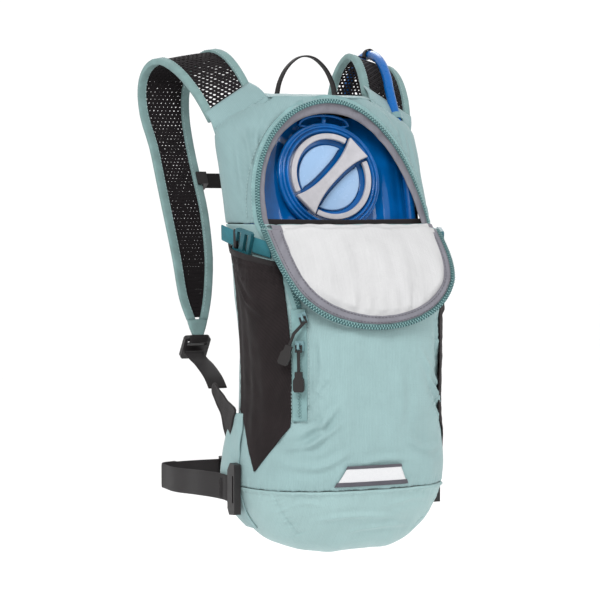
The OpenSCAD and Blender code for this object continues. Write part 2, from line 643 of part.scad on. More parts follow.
// ---- Flap ---------------------------------------------------------------
// At rest the flap lies folded over the front. Closed, it turns half a turn
// about the hinge line and covers the arch.
flap_half_w = 96;
flap_len = 95;
flap_top = z_fold - 6;
flap_lift = 4;     // clearance between the folded flap and the front panel
function flap_z(t) = flap_top - flap_len * t;
function flap_w(t, in = 0) = (flap_half_w - in) * sqrt(1 - pow(t, 3));
function flap_y(x, z) = front_y(0, z) - flap_lift
  + mix(9, 24, max(0, (z - 50) / 48)) * pow(x / (body_half_w - 17), 2);
function flap_grid(off, in, t1) = [for (i = [0:14])
  let (t = t1 * sin(90 * i / 14), z = flap_z(t))
  [for (u = [-1:0.125:1]) let (x = u * flap_w(t, in))
    [x, flap_y(x, z) - off, z]]];
module flap_shell() {
  color(teal) slab(flap_grid(flap_t, 0, 0.985), flap_grid(0, 0, 0.985));
}
module flap_lining() {
  color(lining_white) slab(flap_grid(flap_t + 0.2 + lining_t, 14, 0.86),
    flap_grid(flap_t + 0.2, 14, 0.86));
}
module flap_zip() {
  path = [for (s = [-88:8:88]) let (t = 0.94 * cos(s),
    x = sin(s) / abs(sin(s) + 0.001) * flap_w(t, 3),
    z = flap_z(t) + 2) [x, flap_y(x, z) - flap_t - 1.6 - zip_h / 2, z]];
  tg = tangents(path);
  color(teal) strip(path, [for (i = [0:len(path) - 1])
    unit(cross(tg[i], [0, 1, 0]))], zip_w, zip_h);
}

// ---- Zips ---------------------------------------------------------------
slider_left_z = 16;
left_foot = [-70, slider_left_z];
right_foot = [78, 62];
function zip_point(x, z) = on_front(x, z, web_clear + zip_h / 2);
main_zip_path = concat(
  [for (t = [0.1:0.1:0.9]) zip_point(mix(left_foot[0], -arch_half_w, t),
    mix(left_foot[1], z_fold, t))],
  [for (s = [0:7.5:180]) let (p = arch(s)) zip_point(p[0],
    min(p[1], z_top - 2.5))],
  [for (t = [0.3:0.3:1]) zip_point(mix(arch_half_w, right_foot[0], t),
    mix(z_fold, right_foot[1], t))]);
main_zip_tg = tangents(main_zip_path);
function out_at(p) =
  let (a = on_front(p[0], p[2] - 1), b = on_front(p[0], p[2] + 1),
       c = on_front(p[0] - 0.5, p[2]), d = on_front(p[0] + 0.5, p[2]))
  unit(cross(d - c, b - a));
module main_zip() {
  color(teal) strip(main_zip_path, [for (i = [0:len(main_zip_path) - 1])
    unit(cross(out_at(main_zip_path[i]), main_zip_tg[i]))], zip_w, zip_h);
}
stash_x = -73;
stash_z = [-80, -8];
slider_gap = 8;
module stash_zip() {
  path = [for (t = [0:0.125:1]) zip_point(stash_x, mix(stash_z[0],
    stash_z[1] - slider_gap, t))];
  color(teal) strip(path, [for (p = path) unit(cross(out_at(p),
    [0, 0, 1]))], zip_w, zip_h);
}
// Slider: a saddle that rides over the coil, with a bail for the pull.
module slider(l = 9, w = 8) {
  difference() {
    union() {
      translate([-w / 2, -l / 2, 0]) cube([w, l, 5]);
      translate([-1.1, -3, 4]) cube([2.2, 6, 4.8]);
    }
    translate([-zip_w / 2 - 1, -l / 2 - 1, -1])
      cube([zip_w + 2, l + 2, 4.8]);
    translate([-2, -1.9, 5]) cube([4, 3.8, 2.8]);
  }
}
bail_h = 6.4;      // height of the pull's pivot over the slider's foot
loop_l = 5.2;      // length of the pull's wire loop
module grip() {
  translate([0, 0, -1.8]) linear_extrude(3.6)
    polygon([[-3.4, 1], [3.4, 1], [3.4, -4], [5.2, -7],
      [5.2, -grip_l + 2], [3.6, -grip_l], [-3.6, -grip_l],
      [-5.2, -grip_l + 2], [-5.2, -7], [-3.4, -4]]);
}
// A pull: a wire loop, then a cord in two lengths, then a moulded grip.
// The turns are the directions of the loop and of the two cord lengths.
module pull(turns, upper, lower) {
  rotate([0, 90, 0]) translate([0, 0, -3.3]) cylinder(d = 1.6, h = 6.6);
  rotate([0, 0, turns[0]]) {
    for (x = [-1, 1]) translate([x * 2.5, 0, 0]) rotate([90, 0, 0])
      cylinder(d = 1.6, h = loop_l);
    translate([0, -loop_l, 0]) {
      rotate([0, 90, 0]) translate([0, 0, -3.3]) cylinder(d = 2, h = 6.6);
      rotate([0, 0, turns[1]]) {
        rotate([90, 0, 0]) cylinder(d = 3, h = upper);
        translate([0, -upper, 0]) {
          sphere(d = 3.1, $fn = 16);
          rotate([0, 0, turns[2] - turns[1]]) {
            rotate([90, 0, 0]) cylinder(d = 3, h = lower);
            translate([0, -lower, 0]) grip();
          }
        }
      }
    }
  }
}
function slider_p(x, z) = on_front(x, z, web_clear + 0.8);
// A slider's lengthwise direction follows the zip from its foot to its end.
module at_slider(p) {
  along = slider_p(p[2], p[3]) - slider_p(p[0], p[1]);
  n = out_at([mix(p[0], p[2], 0.5), 0, mix(p[1], p[3], 0.5)]);
  place(slider_p(p[0], p[1]), cross(along, n), n - (n * unit(along))
    * unit(along)) children();
}
// Each slider: its foot's x and z at rest, then at the end of its travel.
travel = 24;
left_slider = [left_foot[0], left_foot[1],
  mix(left_foot[0], -arch_half_w, travel / (z_fold - left_foot[1])),
  left_foot[1] + travel];
stash_slider_at = [stash_x, stash_z[1] - 2, stash_x, stash_z[0] + 14];
module slider_at(p) {
  color([0.35, 0.62, 0.64]) at_slider(p) slider();
}
module pull_at(p, turns, upper, lower) {
  color(black) at_slider(p) translate([0, 0, bail_h])
    pull(turns, upper, lower);
}

// ---- Label --------------------------------------------------------------
label_z = [-143, -125];
function label_grid(off) = [for (i = [0:3]) let (t = i / 3)
  [for (j = [0:6]) let (x = mix(mix(-41, -31, t), mix(34, 25, t), j / 6))
    on_front(x, mix(label_z[0], label_z[1], t), off)]];
module reflective_label() {
  color([0.95, 0.95, 0.95]) slab(label_grid(1.1), label_grid(0.4));
}

module mirrored() { mirror([1, 0, 0]) children(); }

front_panel();
bottom_panel();
side_panel();  // side_panel_left
mirrored() side_panel();  // side_panel_right
upper_panel();
top_panel();
back_panel();
back_pad();
back_pads_outer();
side_pocket();  // side_pocket_left
mirrored() side_pocket();  // side_pocket_right
sleeve_divider();
reservoir_bag();
reservoir_neck();
reservoir_cap();
cap_handle();
reservoir_hanger();
tube_elbow();
drink_tube();
tube_port();
valve_body();
valve_lever();
mouthpiece();
tube_keepers();
strap_pad();  // strap_pad_left
mirrored() strap_pad();  // strap_pad_right
strap_binding();  // strap_binding_left
mirrored() strap_binding();  // strap_binding_right
strap_buckle();  // strap_buckle_left
mirrored() strap_buckle();  // strap_buckle_right
strap_webs();
strap_wings();
sternum_rail();  // sternum_rail_left
mirrored() sternum_rail();  // sternum_rail_right
sternum_web();  // sternum_web_left
mirrored() sternum_web();  // sternum_web_right
sternum_buckle_male();
sternum_buckle_female();
haul_loop();
both() side_web();  // side_webs
side_buckle();  // side_buckle_left
mirrored() side_buckle();  // side_buckle_right
belt_web();  // belt_web_left
mirrored() belt_web();  // belt_web_right
belt_toggles();
belt_buckle_male();
belt_buckle_female();
flap_shell();
flap_lining();
flap_zip();
main_zip();
stash_zip();
slider_at(left_slider);  // main_slider_left
pull_at(left_slider, [0, -62, -40], 14, 13);  // main_pull_left
slider_at(stash_slider_at);  // stash_slider
pull_at(stash_slider_at, [180, 0, 0], 10, 10);  // stash_pull
reflective_label();
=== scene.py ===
"""Looks of the hydration pack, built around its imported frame.

Points and sizes in this file are millimetres in the part's own frame (+Z up, front towards -Y),
and mesh builders turn them into metres.
"""
import math

import bmesh
import bpy
import numpy as np
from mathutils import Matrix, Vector


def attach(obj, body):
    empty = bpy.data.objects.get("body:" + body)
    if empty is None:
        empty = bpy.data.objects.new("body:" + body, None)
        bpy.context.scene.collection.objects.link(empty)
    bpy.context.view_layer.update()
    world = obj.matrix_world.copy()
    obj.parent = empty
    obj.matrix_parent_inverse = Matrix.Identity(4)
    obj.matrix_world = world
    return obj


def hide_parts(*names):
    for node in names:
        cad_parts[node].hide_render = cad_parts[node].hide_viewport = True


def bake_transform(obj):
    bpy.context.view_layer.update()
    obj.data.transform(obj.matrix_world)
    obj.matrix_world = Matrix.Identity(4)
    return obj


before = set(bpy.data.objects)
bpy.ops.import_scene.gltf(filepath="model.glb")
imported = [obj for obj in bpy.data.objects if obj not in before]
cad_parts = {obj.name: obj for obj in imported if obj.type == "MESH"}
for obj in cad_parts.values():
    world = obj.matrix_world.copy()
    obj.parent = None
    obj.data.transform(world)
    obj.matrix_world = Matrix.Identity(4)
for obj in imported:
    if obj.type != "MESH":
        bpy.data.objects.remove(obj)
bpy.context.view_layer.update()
MM = 0.001
SCENE = bpy.context.scene

# ---- The pack's outer form, as in the part's source ------------------------------------------
# height, share of half width, share of depth, back line, and exponent of the cross-section, from the foot up
PROFILE = np.array([
    [-214, 0.04, 0.02, -38, 2.4], [-212, 0.37, 0.20, -34, 2.4], [-205, 0.60, 0.45, -24, 2.4],
    [-190, 0.79, 0.64, -16, 2.5], [-165, 0.92, 0.83, -11, 2.6], [-130, 0.955, 0.95, -9, 2.7],
    [-68, 0.90, 1.00, -8, 2.7], [0, 0.91, 0.98, -8, 2.7], [60, 0.955, 0.855, -8, 2.6],
    [104, 0.98, 0.70, 2, 2.3], [150, 1.00, 0.485, 13, 2.2], [188, 1.00, 0.39, 24, 2.2],
    [200, 0.955, 0.395, 28, 2.2], [212, 0.81, 0.405, 32, 2.2], [226, 0.59, 0.405, 36, 2.2]])
HALF_W, DEPTH = 109.0, 103.0
Z_BOTTOM, Z_SEAM, Z_FOLD, Z_TOP = -214.0, -148.0, 104.0, 226.0
ARCH_HALF_W, ARCH_H = 90.0, 118.0


def at(z, k):
    """Column k of the profile at height z, smoothed between stations."""
    z = np.asarray(z, float)
    last = len(PROFILE) - 1
    i = np.clip(np.searchsorted(PROFILE[:, 0], z, side="right") - 1, 0, last - 1)

    def rise(j):
        a, b = np.maximum(0, j - 1), np.minimum(last, j + 1)
        return (PROFILE[b, k] - PROFILE[a, k]) / (PROFILE[b, 0] - PROFILE[a, 0])

    h = PROFILE[i + 1, 0] - PROFILE[i, 0]
    t = np.clip((z - PROFILE[i, 0]) / h, 0, 1)
    return ((2 * t**3 - 3 * t**2 + 1) * PROFILE[i, k] + (t**3 - 2 * t**2 + t) * h * rise(i)
            + (3 * t**2 - 2 * t**3) * PROFILE[i + 1, k] + (t**3 - t**2) * h * rise(i + 1))


def half_w(z):
    return HALF_W * at(z, 1)


def depth(z):
    return DEPTH * at(z, 2)


def back_y(z):
    return at(z, 3)


def skin(a, z, off=0.0):
    """Points of the outer surface: angle 0 is the right back edge, 90 the middle of the front."""
    a, z = np.broadcast_arrays(np.radians(np.asarray(a, float)), np.asarray(z, float))
    n = 2 / at(z, 4)
    c, s = np.cos(a), np.clip(np.sin(a), 0, 1)
    x = (half_w(z) + off) * np.sign(c) * np.abs(c) ** n
    y = back_y(z) - (depth(z) + off) * s**n
    return np.stack([x, y, z], -1)


def front_y(x, z, off=0.0):
    n = at(z, 4)
    q = np.minimum(1, np.abs(x) / (half_w(z) + off))
    return back_y(z) - (depth(z) + off) * (1 - q**n) ** (1 / n)


def on_front(x, z, off=0.0):
    x, z = np.broadcast_arrays(np.asarray(x, float), np.asarray(z, float))
    return np.stack([x, front_y(x, z, off), z], -1)


def angle_at(x, z):
    q = np.minimum(1, np.abs(x) / half_w(z))
    a = np.degrees(np.arccos(q ** (at(z, 4) / 2)))
    return np.where(np.asarray(x) < 0, 180 - a, a)


def lerp(a, b, t):
    return a + (b - a) * t


def bump(d, width):
    """1 on a line, falling to 0 at a few widths from it."""
    return np.exp(-(d / width) ** 2)


def ripple(x, y, size, seed):
    """Smooth seeded waviness, about -1 to 1, with features of about this size."""
    rng = np.random.default_rng(seed)
    out = 0
    for _ in range(7):
        turn, phase = rng.uniform(0, math.tau, 2)
        k = math.tau / (size * rng.uniform(0.7, 1.8))
        out = out + np.sin(k * (x * math.cos(turn) + y * math.sin(turn)) + phase)
    return out / 3.2


def catmull(points, steps, closed=False):
    """Points of a smooth curve through given points, this many on each stretch."""
    p = np.asarray(points, float)
    n = len(p)
    t = np.arange(steps)[:, None] / steps
    out = []
    for i in range(n if closed else n - 1):
        a, b, c, d = (p[(i + k) % n] if closed else p[min(n - 1, max(0, i + k))] for k in (-1, 0, 1, 2))
        out.append(b + (c - a) * t / 2 + (2 * a - 5 * b + 4 * c - d) * t**2 / 2
                   + (3 * b - a - 3 * c + d) * t**3 / 2)
    out.append(p[:1] if closed else p[-1:])
    return np.concatenate(out)


def lengths(p):
    """Distance along a line at each of its points."""
    return np.concatenate([[0], np.cumsum(np.linalg.norm(np.diff(p, axis=0), axis=1))])


def sample(at_s, s, p):
    """Values of p, which are known at lengths s, at other lengths."""
    p = np.asarray(p, float)
    return np.stack([np.interp(at_s, s, p[:, k]) for k in range(p.shape[1])], -1)


def spline(points, count, closed=False):
    """A smooth curve through given points, evenly spaced along its length."""
    q = catmull(points, 12, closed)
    s = lengths(q)
    return sample(np.linspace(0, s[-1], count), s, q)


def unit(v):
    v = np.asarray(v, float)
    return v / np.maximum(np.linalg.norm(v, axis=-1, keepdims=True), 1e-9)


def tangents(p):
    return unit(np.gradient(np.asarray(p, float), axis=0))


def outward(p):
    """Outward normals of a grid whose columns run towards +X as seen from the front."""
    du, dv = np.gradient(p, axis=1), np.gradient(p, axis=0)
    return unit(np.cross(du, dv))


# ---- Mesh builders ---------------------------------------------------------------------------
def add_object(name, mesh):
    obj = bpy.data.objects.new(name, mesh)
    SCENE.collection.objects.link(obj)
    return obj


def finish_piece(obj, mat, body="pack", nodes=()):
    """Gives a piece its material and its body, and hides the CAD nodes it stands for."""
    obj.data.materials.clear()
    for name in [mat] if isinstance(mat, str) else mat:
        obj.data.materials.append(M[name])
    for face in obj.data.polygons:
        face.use_smooth = True
    if body:
        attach(obj, body)
    if nodes:
        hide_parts(*nodes)
    return obj


def from_faces(name, verts, faces, uvs=None):
    mesh = bpy.data.meshes.new(name)
    mesh.from_pydata((np.asarray(verts, float) * MM).tolist(), [], faces)
    mesh.update()
    if uvs is not None:
        layer = mesh.uv_layers.new(name="cloth")
        loops = np.empty(len(mesh.loops), np.int32)
        mesh.loops.foreach_get("vertex_index", loops)
        layer.data.foreach_set("uv", (np.asarray(uvs, float)[loops] * MM).ravel())
    return add_object(name, mesh)


def grid_faces(nr, nc, wrap=False):
    i, j = np.meshgrid(np.arange(nr - 1), np.arange(nc if wrap else nc - 1), indexing="ij")
    a, b = i * nc + j, i * nc + (j + 1) % nc
    return np.stack([a, b, b + nc, a + nc], -1).reshape(-1, 4).tolist()


def cloth_uv(p):
    """Distances over the cloth, across and along, measured from the middle column."""
    du = np.linalg.norm(np.diff(p, axis=1), axis=2)
    u = np.concatenate([np.zeros((len(p), 1)), np.cumsum(du, axis=1)], axis=1)
    u -= u[:, [p.shape[1] // 2]]
    dv = np.linalg.norm(np.diff(p, axis=0), axis=2)
    v = np.concatenate([np.zeros((1, p.shape[1])), np.cumsum(dv, axis=0)], axis=0)
    return np.stack([u, v], -1)


def sheet_mesh(name, p, wrap=False, uv=None):
    """A cloth surface from a grid of points, with its weave running along the grid."""
    p = np.asarray(p, float)
    uv = cloth_uv(p) if uv is None else uv
    return from_faces(name, p.reshape(-1, 3), grid_faces(*p.shape[:2], wrap), uv.reshape(-1, 2))


def thicken(obj, t, offset=-1.0):
    m = obj.modifiers.new("thickness", "SOLIDIFY")
    m.thickness, m.offset, m.use_even_offset = t * MM, offset, False
    return obj


def soften(obj, levels=1):
    m = obj.modifiers.new("smooth", "SUBSURF")
    m.levels = m.render_levels = levels
    return obj


def ribbon(name, path, sides, width, t, cols=6):
    """A closed flat strip along a path: its rounded-rectangle section follows the side vectors."""
    path, sides = np.asarray(path, float), unit(sides)
    nrm = unit(np.cross(tangents(path), sides))
    width = np.broadcast_to(np.asarray(width, float), len(path))[:, None]
    k = 4 * cols
    ang = np.linspace(0, math.tau, k, endpoint=False)
    cx = np.sign(np.cos(ang)) * np.abs(np.cos(ang)) ** 0.35
    cy = np.sign(np.sin(ang)) * np.abs(np.sin(ang)) ** 0.6
    p = path[:, None] + (cx * width / 2)[..., None] * sides[:, None] + (cy * t / 2)[:, None] * nrm[:, None]
    uv = np.stack([cx * width / 2, np.repeat(lengths(path)[:, None], k, 1)], -1)
    faces = grid_faces(len(path), k, True)
    faces += [list(range(k))[::-1], [(len(path) - 1) * k + j for j in range(k)]]
    return from_faces(name, p.reshape(-1, 3), faces, uv.reshape(-1, 2))


def tube_mesh(name, path, radius, sides):
    """A round cord along a path, with closed ends."""
    path = np.asarray(path, float)
    off_axis = np.array([0.31, 0.17, 0.94])
    tg = tangents(path)
    u = unit(np.cross(tg, off_axis))
    v = np.cross(tg, u)
    ang = np.linspace(0, math.tau, sides, endpoint=False)
    ring = np.cos(ang)[None, :, None] * u[:, None] + np.sin(ang)[None, :, None] * v[:, None]
    n = len(path)
    faces = grid_faces(n, sides, True)
    faces += [list(range(sides))[::-1], [(n - 1) * sides + j for j in range(sides)]]
    uv = np.stack([np.repeat(ang[None] * radius, n, 0), np.repeat(lengths(path)[:, None], sides, 1)], -1)
    return from_faces(name, (path[:, None] + radius * ring).reshape(-1, 3), faces, uv.reshape(-1, 2))


def joined(name, objs):
    """One object from several, with their modifiers applied."""
    dg = bpy.context.evaluated_depsgraph_get()
    bm = bmesh.new()
    for o in objs:
        part = bpy.data.meshes.new_from_object(o.evaluated_get(dg))
        part.transform(o.matrix_world)
        bm.from_mesh(part)
        bpy.data.meshes.remove(part)
    mesh = bpy.data.meshes.new(name)
    bm.to_mesh(mesh)
    bm.free()
    for o in objs:
        bpy.data.objects.remove(o)
    return add_object(name, mesh)


def box_cloud(name, centres, xs, ys, zs, size, taper):
    """Many small blocks that narrow towards the top, such as stitches or zip teeth, in one mesh."""
    corner = np.array([[x, y, z] for x in (-1, 1) for y in (-1, 1) for z in (-1, 1)], float)
    box = [[0, 1, 3, 2], [4, 6, 7, 5], [0, 4, 5, 1], [2, 3, 7, 6], [0, 2, 6, 4], [1, 5, 7, 3]]
    half = np.asarray(size, float) / 2
    narrow = np.where(corner[:, 2:3] > 0, 1 - taper, 1)
    verts, faces = [], []
    for i, (c, x, y, z) in enumerate(zip(centres, xs, ys, zs)):
        off = (corner[:, 0:1] * half[0] * x + corner[:, 1:2] * half[1] * y) * narrow
        verts.append(c + off + corner[:, 2:3] * half[2] * z)
        faces += [[8 * i + k for k in f] for f in box]
    return from_faces(name, np.concatenate(verts), faces)


def line_frame(line, normals, step, start, end):
    """Points every step along a line, with the directions along it, across it and off the surface."""
    s = lengths(np.asarray(line, float))
    at_s = np.arange(start, s[-1] - end, step)
    c, n = sample(at_s, s, line), unit(sample(at_s, s, normals))
    t = tangents(c)
    return c, t, unit(np.cross(n, t)), n


def stitches(name, line, normals, length=2.4, gap=1.2, width=0.5, height=0.4):
    """A row of thread stitches lying on a surface line."""
    c, t, side, n = line_frame(line, normals, length + gap, length, length)
    return box_cloud(name, c + n * height * 0.3, t, side, n, (length, width, height), 0.4)


# ---- Materials -------------------------------------------------------------------------------
ALBEDO = 0.68   # share of a picture's brightness that the cloth itself gives under this stage light


def srgb(r, g, b):
    def lin(c):
        c /= 255
        return ALBEDO * (c / 12.92 if c <= 0.04045 else ((c + 0.055) / 1.055) ** 2.4)
    return (lin(r), lin(g), lin(b), 1.0)


class Nodes:
    """A short way to wire a procedural material."""

    def __init__(self, name, **sockets):
        self.mat = bpy.data.materials.new(name)
        self.mat.use_nodes = True
        self.tree = self.mat.node_tree
        self.tree.nodes.clear()
        self.out = self.tree.nodes.new("ShaderNodeOutputMaterial")
        self.shader = self.tree.nodes.new("ShaderNodeBsdfPrincipled")
        self.tree.links.new(self.shader.outputs[0], self.out.inputs[0])
        for key, value in sockets.items():
            self.shader.inputs[key.replace("_", " ")].default_value = value

    def node(self, kind, **props):
        n = self.tree.nodes.new("ShaderNode" + kind)
        for key, value in props.items():
            setattr(n, key, value)
        return n

    def link(self, a, b):
        self.tree.links.new(a, b)

    def coords(self, uv=True):
        c = self.node("TexCoord")
        return c.outputs["UV" if uv else "Object"]

    def split(self, vector):
        s = self.node("SeparateXYZ")
        self.link(vector, s.inputs[0])
        return s.outputs

    def math(self, op, a, b=None, c=None):
        n = self.node("Math", operation=op)
        for i, v in enumerate((a, b, c)):
            if v is None:
                continue
            if isinstance(v, (int, float)):
                n.inputs[i].default_value = v
            else:
                self.link(v, n.inputs[i])
        return n.outputs[0]

    def wave(self, coord, period, power=1.0):
        """0..1 ribs of this period, in metres."""
        w = self.math("SINE", self.math("MULTIPLY", coord, math.tau / period))
        w = self.math("MULTIPLY_ADD", w, 0.5, 0.5)
        return w if power == 1.0 else self.math("POWER", w, power)

    def noise(self, vector, scale, detail=3.0, rough=0.55):
        n = self.node("TexNoise")
        n.inputs["Scale"].default_value = scale
        n.inputs["Detail"].default_value = detail
        n.inputs["Roughness"].default_value = rough
        self.link(vector, n.inputs["Vector"])
        return n.outputs[0]

    def scaled(self, vector, sx, sy, sz=1.0):
        m = self.node("Mapping")
        m.inputs["Scale"].default_value = (sx, sy, sz)
        self.link(vector, m.inputs["Vector"])
        return m.outputs[0]

    def ramp(self, fac, stops):
        r = self.node("ValToRGB")
        els = r.color_ramp.elements
        while len(els) < len(stops):
            els.new(0.5)
        for e, (pos, col) in zip(els, stops):
            e.position, e.color = pos, col
        self.link(fac, r.inputs[0])
        return r.outputs[0]

    def mix(self, fac, a, b):
        m = self.node("Mix", data_type="RGBA")
        self.link(fac, m.inputs[0])
        for sock, v in ((m.inputs[6], a), (m.inputs[7], b)):
            if isinstance(v, tuple):
                sock.default_value = v
            else:
                self.link(v, sock)
        return m.outputs[2]

    def color(self, value):
        self.link(value, self.shader.inputs["Base Color"])

    def rough(self, value, low, high):
        self.link(self.math("MULTIPLY_ADD", value, high - low, low), self.shader.inputs["Roughness"])

    def bump(self, height, distance, strength=1.0, chain=None):
        b = self.node("Bump")
        b.inputs["Strength"].default_value = strength
        b.inputs["Distance"].default_value = distance
        self.link(height, b.inputs["Height"])
        if chain is not None:
            self.link(chain, b.inputs["Normal"])
        self.link(b.outputs[0], self.shader.inputs["Normal"])
        return b.outputs[0]


def shade(color, k):
    return tuple(c * k for c in color[:3]) + (1.0,)


def ripstop(name, color, ribs=0.0016):
    """Fine ribbed nylon: dark lines between ribs, a faint ripstop grid and soft creases."""
    m = Nodes(name, Roughness=0.6, Sheen_Weight=0.16, Sheen_Roughness=0.4, Specular_IOR_Level=0.3)
    uv = m.coords()
    u, v, _ = m.split(uv)
    rib = m.wave(u, ribs, 1.5)
    cross = m.wave(v, 0.0008)
    grid_u, grid_v = m.wave(u, 0.0064, 18), m.wave(v, 0.0052, 18)
    streak = m.noise(m.scaled(uv, 420, 26), 1.0, 3)
    cloud = m.noise(uv, 26, 4)
    tone = m.math("ADD", m.math("MULTIPLY", streak, 0.3), m.math("MULTIPLY", cloud, 0.7))
    base = m.ramp(tone, [(0.3, shade(color, 0.9)), (0.55, color), (0.8, shade(color, 1.08))])
    m.color(m.mix(m.math("MULTIPLY", rib, 0.22), base, shade(color, 0.7)))
    m.rough(cloud, 0.5, 0.72)
    first = m.bump(m.noise(m.scaled(uv, 60, 22), 1.0, 4), 0.0016, 0.25)
    fine = m.math("ADD", m.math("MULTIPLY", rib, -0.7), m.math("ADD", m.math("MULTIPLY", grid_u, 0.4),
                  m.math("ADD", m.math("MULTIPLY", grid_v, 0.4), m.math("MULTIPLY", cross, 0.25))))
    m.bump(fine, 0.0003, 0.55, first)
    return m.mat


def stretch_mesh(name, color, pitch=0.0021):
    """Close knitted stretch mesh: staggered small dark eyes with a soft sheen."""
    m = Nodes(name, Roughness=0.8, Sheen_Weight=0.03, Sheen_Roughness=0.5, Specular_IOR_Level=0.12)
    uv = m.coords()
    u, v, _ = m.split(uv)
    eye = m.math("MULTIPLY", m.wave(m.math("ADD", u, m.math("MULTIPLY", v, 0.5)), pitch, 2.0),
                 m.wave(m.math("SUBTRACT", u, m.math("MULTIPLY", v, 0.5)), pitch, 2.0))
    cloud = m.noise(uv, 40, 4)
    base = m.ramp(cloud, [(0.3, shade(color, 0.75)), (0.7, shade(color, 1.25))])
    m.color(m.mix(m.math("MULTIPLY", eye, 0.85), base, shade(color, 0.25)))
    m.rough(cloud, 0.7, 0.92)
    m.bump(eye, 0.0006, -0.6, m.bump(m.noise(m.scaled(uv, 90, 20), 1.0, 3), 0.0015, 0.2))
    return m.mat


def webbing(name, color, pitch=0.0012):
    """Flat woven webbing: chevron ribs along its length."""
    m = Nodes(name, Roughness=0.7, Sheen_Weight=0.05, Sheen_Roughness=0.45, Specular_IOR_Level=0.2)
    uv = m.coords()
    u, v, _ = m.split(uv)
    chevrons = m.math("FRACT", m.math("MULTIPLY", u, 1 / 0.0042))
    zig = m.math("ABSOLUTE", m.math("SUBTRACT", chevrons, 0.5))
    rib = m.wave(m.math("ADD", v, m.math("MULTIPLY", zig, 0.0036)), pitch, 1.3)
    rows = m.wave(u, 0.0014, 1.0)
    cloud = m.noise(uv, 60, 4)
    base = m.ramp(cloud, [(0.3, shade(color, 0.8)), (0.7, shade(color, 1.3))])
    m.color(m.mix(m.math("MULTIPLY", rib, 0.5), base, shade(color, 0.45)))
    m.rough(cloud, 0.6, 0.85)
    m.bump(m.math("ADD", rib, m.math("MULTIPLY", rows, 0.5)), 0.0004, -0.7)
    return m.mat


def tape(name, color, rib=0.0009, strength=0.5):
    """Narrow woven binding tape with a fine cross rib."""
    m = Nodes(name, Roughness=0.72, Sheen_Weight=0.05, Sheen_Roughness=0.5, Specular_IOR_Level=0.2)
    uv = m.coords()
    u, v, _ = m.split(uv)
    fine = m.math("MULTIPLY", m.wave(v, rib), m.wave(u, rib * 1.2))
    cloud = m.noise(uv, 70, 4)
    base = m.ramp(cloud, [(0.3, shade(color, 0.84)), (0.7, shade(color, 1.14))])
    m.color(m.mix(m.math("MULTIPLY", fine, 0.3), base, shade(color, 0.6)))
    m.rough(cloud, 0.6, 0.82)
    m.bump(fine, 0.0003, strength, m.bump(cloud, 0.0012, 0.35))
    return m.mat


def moulded(name, color, rough=0.45, grain=900, coat=0.0, **more):
    """Moulded plastic with a fine spark-eroded grain and faint wear."""
    m = Nodes(name, Roughness=rough, Coat_Weight=coat, Coat_Roughness=0.15, **more)
    xyz = m.coords(False)
    grain_tex = m.noise(xyz, grain, 2)
    wear = m.noise(xyz, 90, 5, 0.7)
    m.color(m.ramp(wear, [(0.35, shade(color, 0.85)), (0.65, color), (0.9, shade(color, 1.3))]))
    m.rough(wear, rough - 0.08, rough + 0.14)
    m.bump(grain_tex, 0.00012, 0.35)
    return m.mat


def clear(name, color, rough=0.08, transmission=0.55, film=0.0, spread=0.4):
    """Tinted clear plastic with faint moulding waves."""
    m = Nodes(name, Roughness=rough, Transmission_Weight=transmission, IOR=1.42,
              Coat_Weight=0.5 * film + 0.15, Coat_Roughness=0.06, Specular_IOR_Level=0.3)
    xyz = m.coords(False)
    tones = [(0.3, shade(color, 1 - spread)), (0.55, color), (0.8, shade(color, 1 + spread))]
    m.color(m.ramp(m.noise(xyz, 22, 3), tones))
    m.rough(m.noise(xyz, 160, 3), rough * 0.7, rough * 1.6)
    m.bump(m.noise(xyz, 30, 2), 0.002 if film else 0.0006, 0.25 + film)
    return m.mat


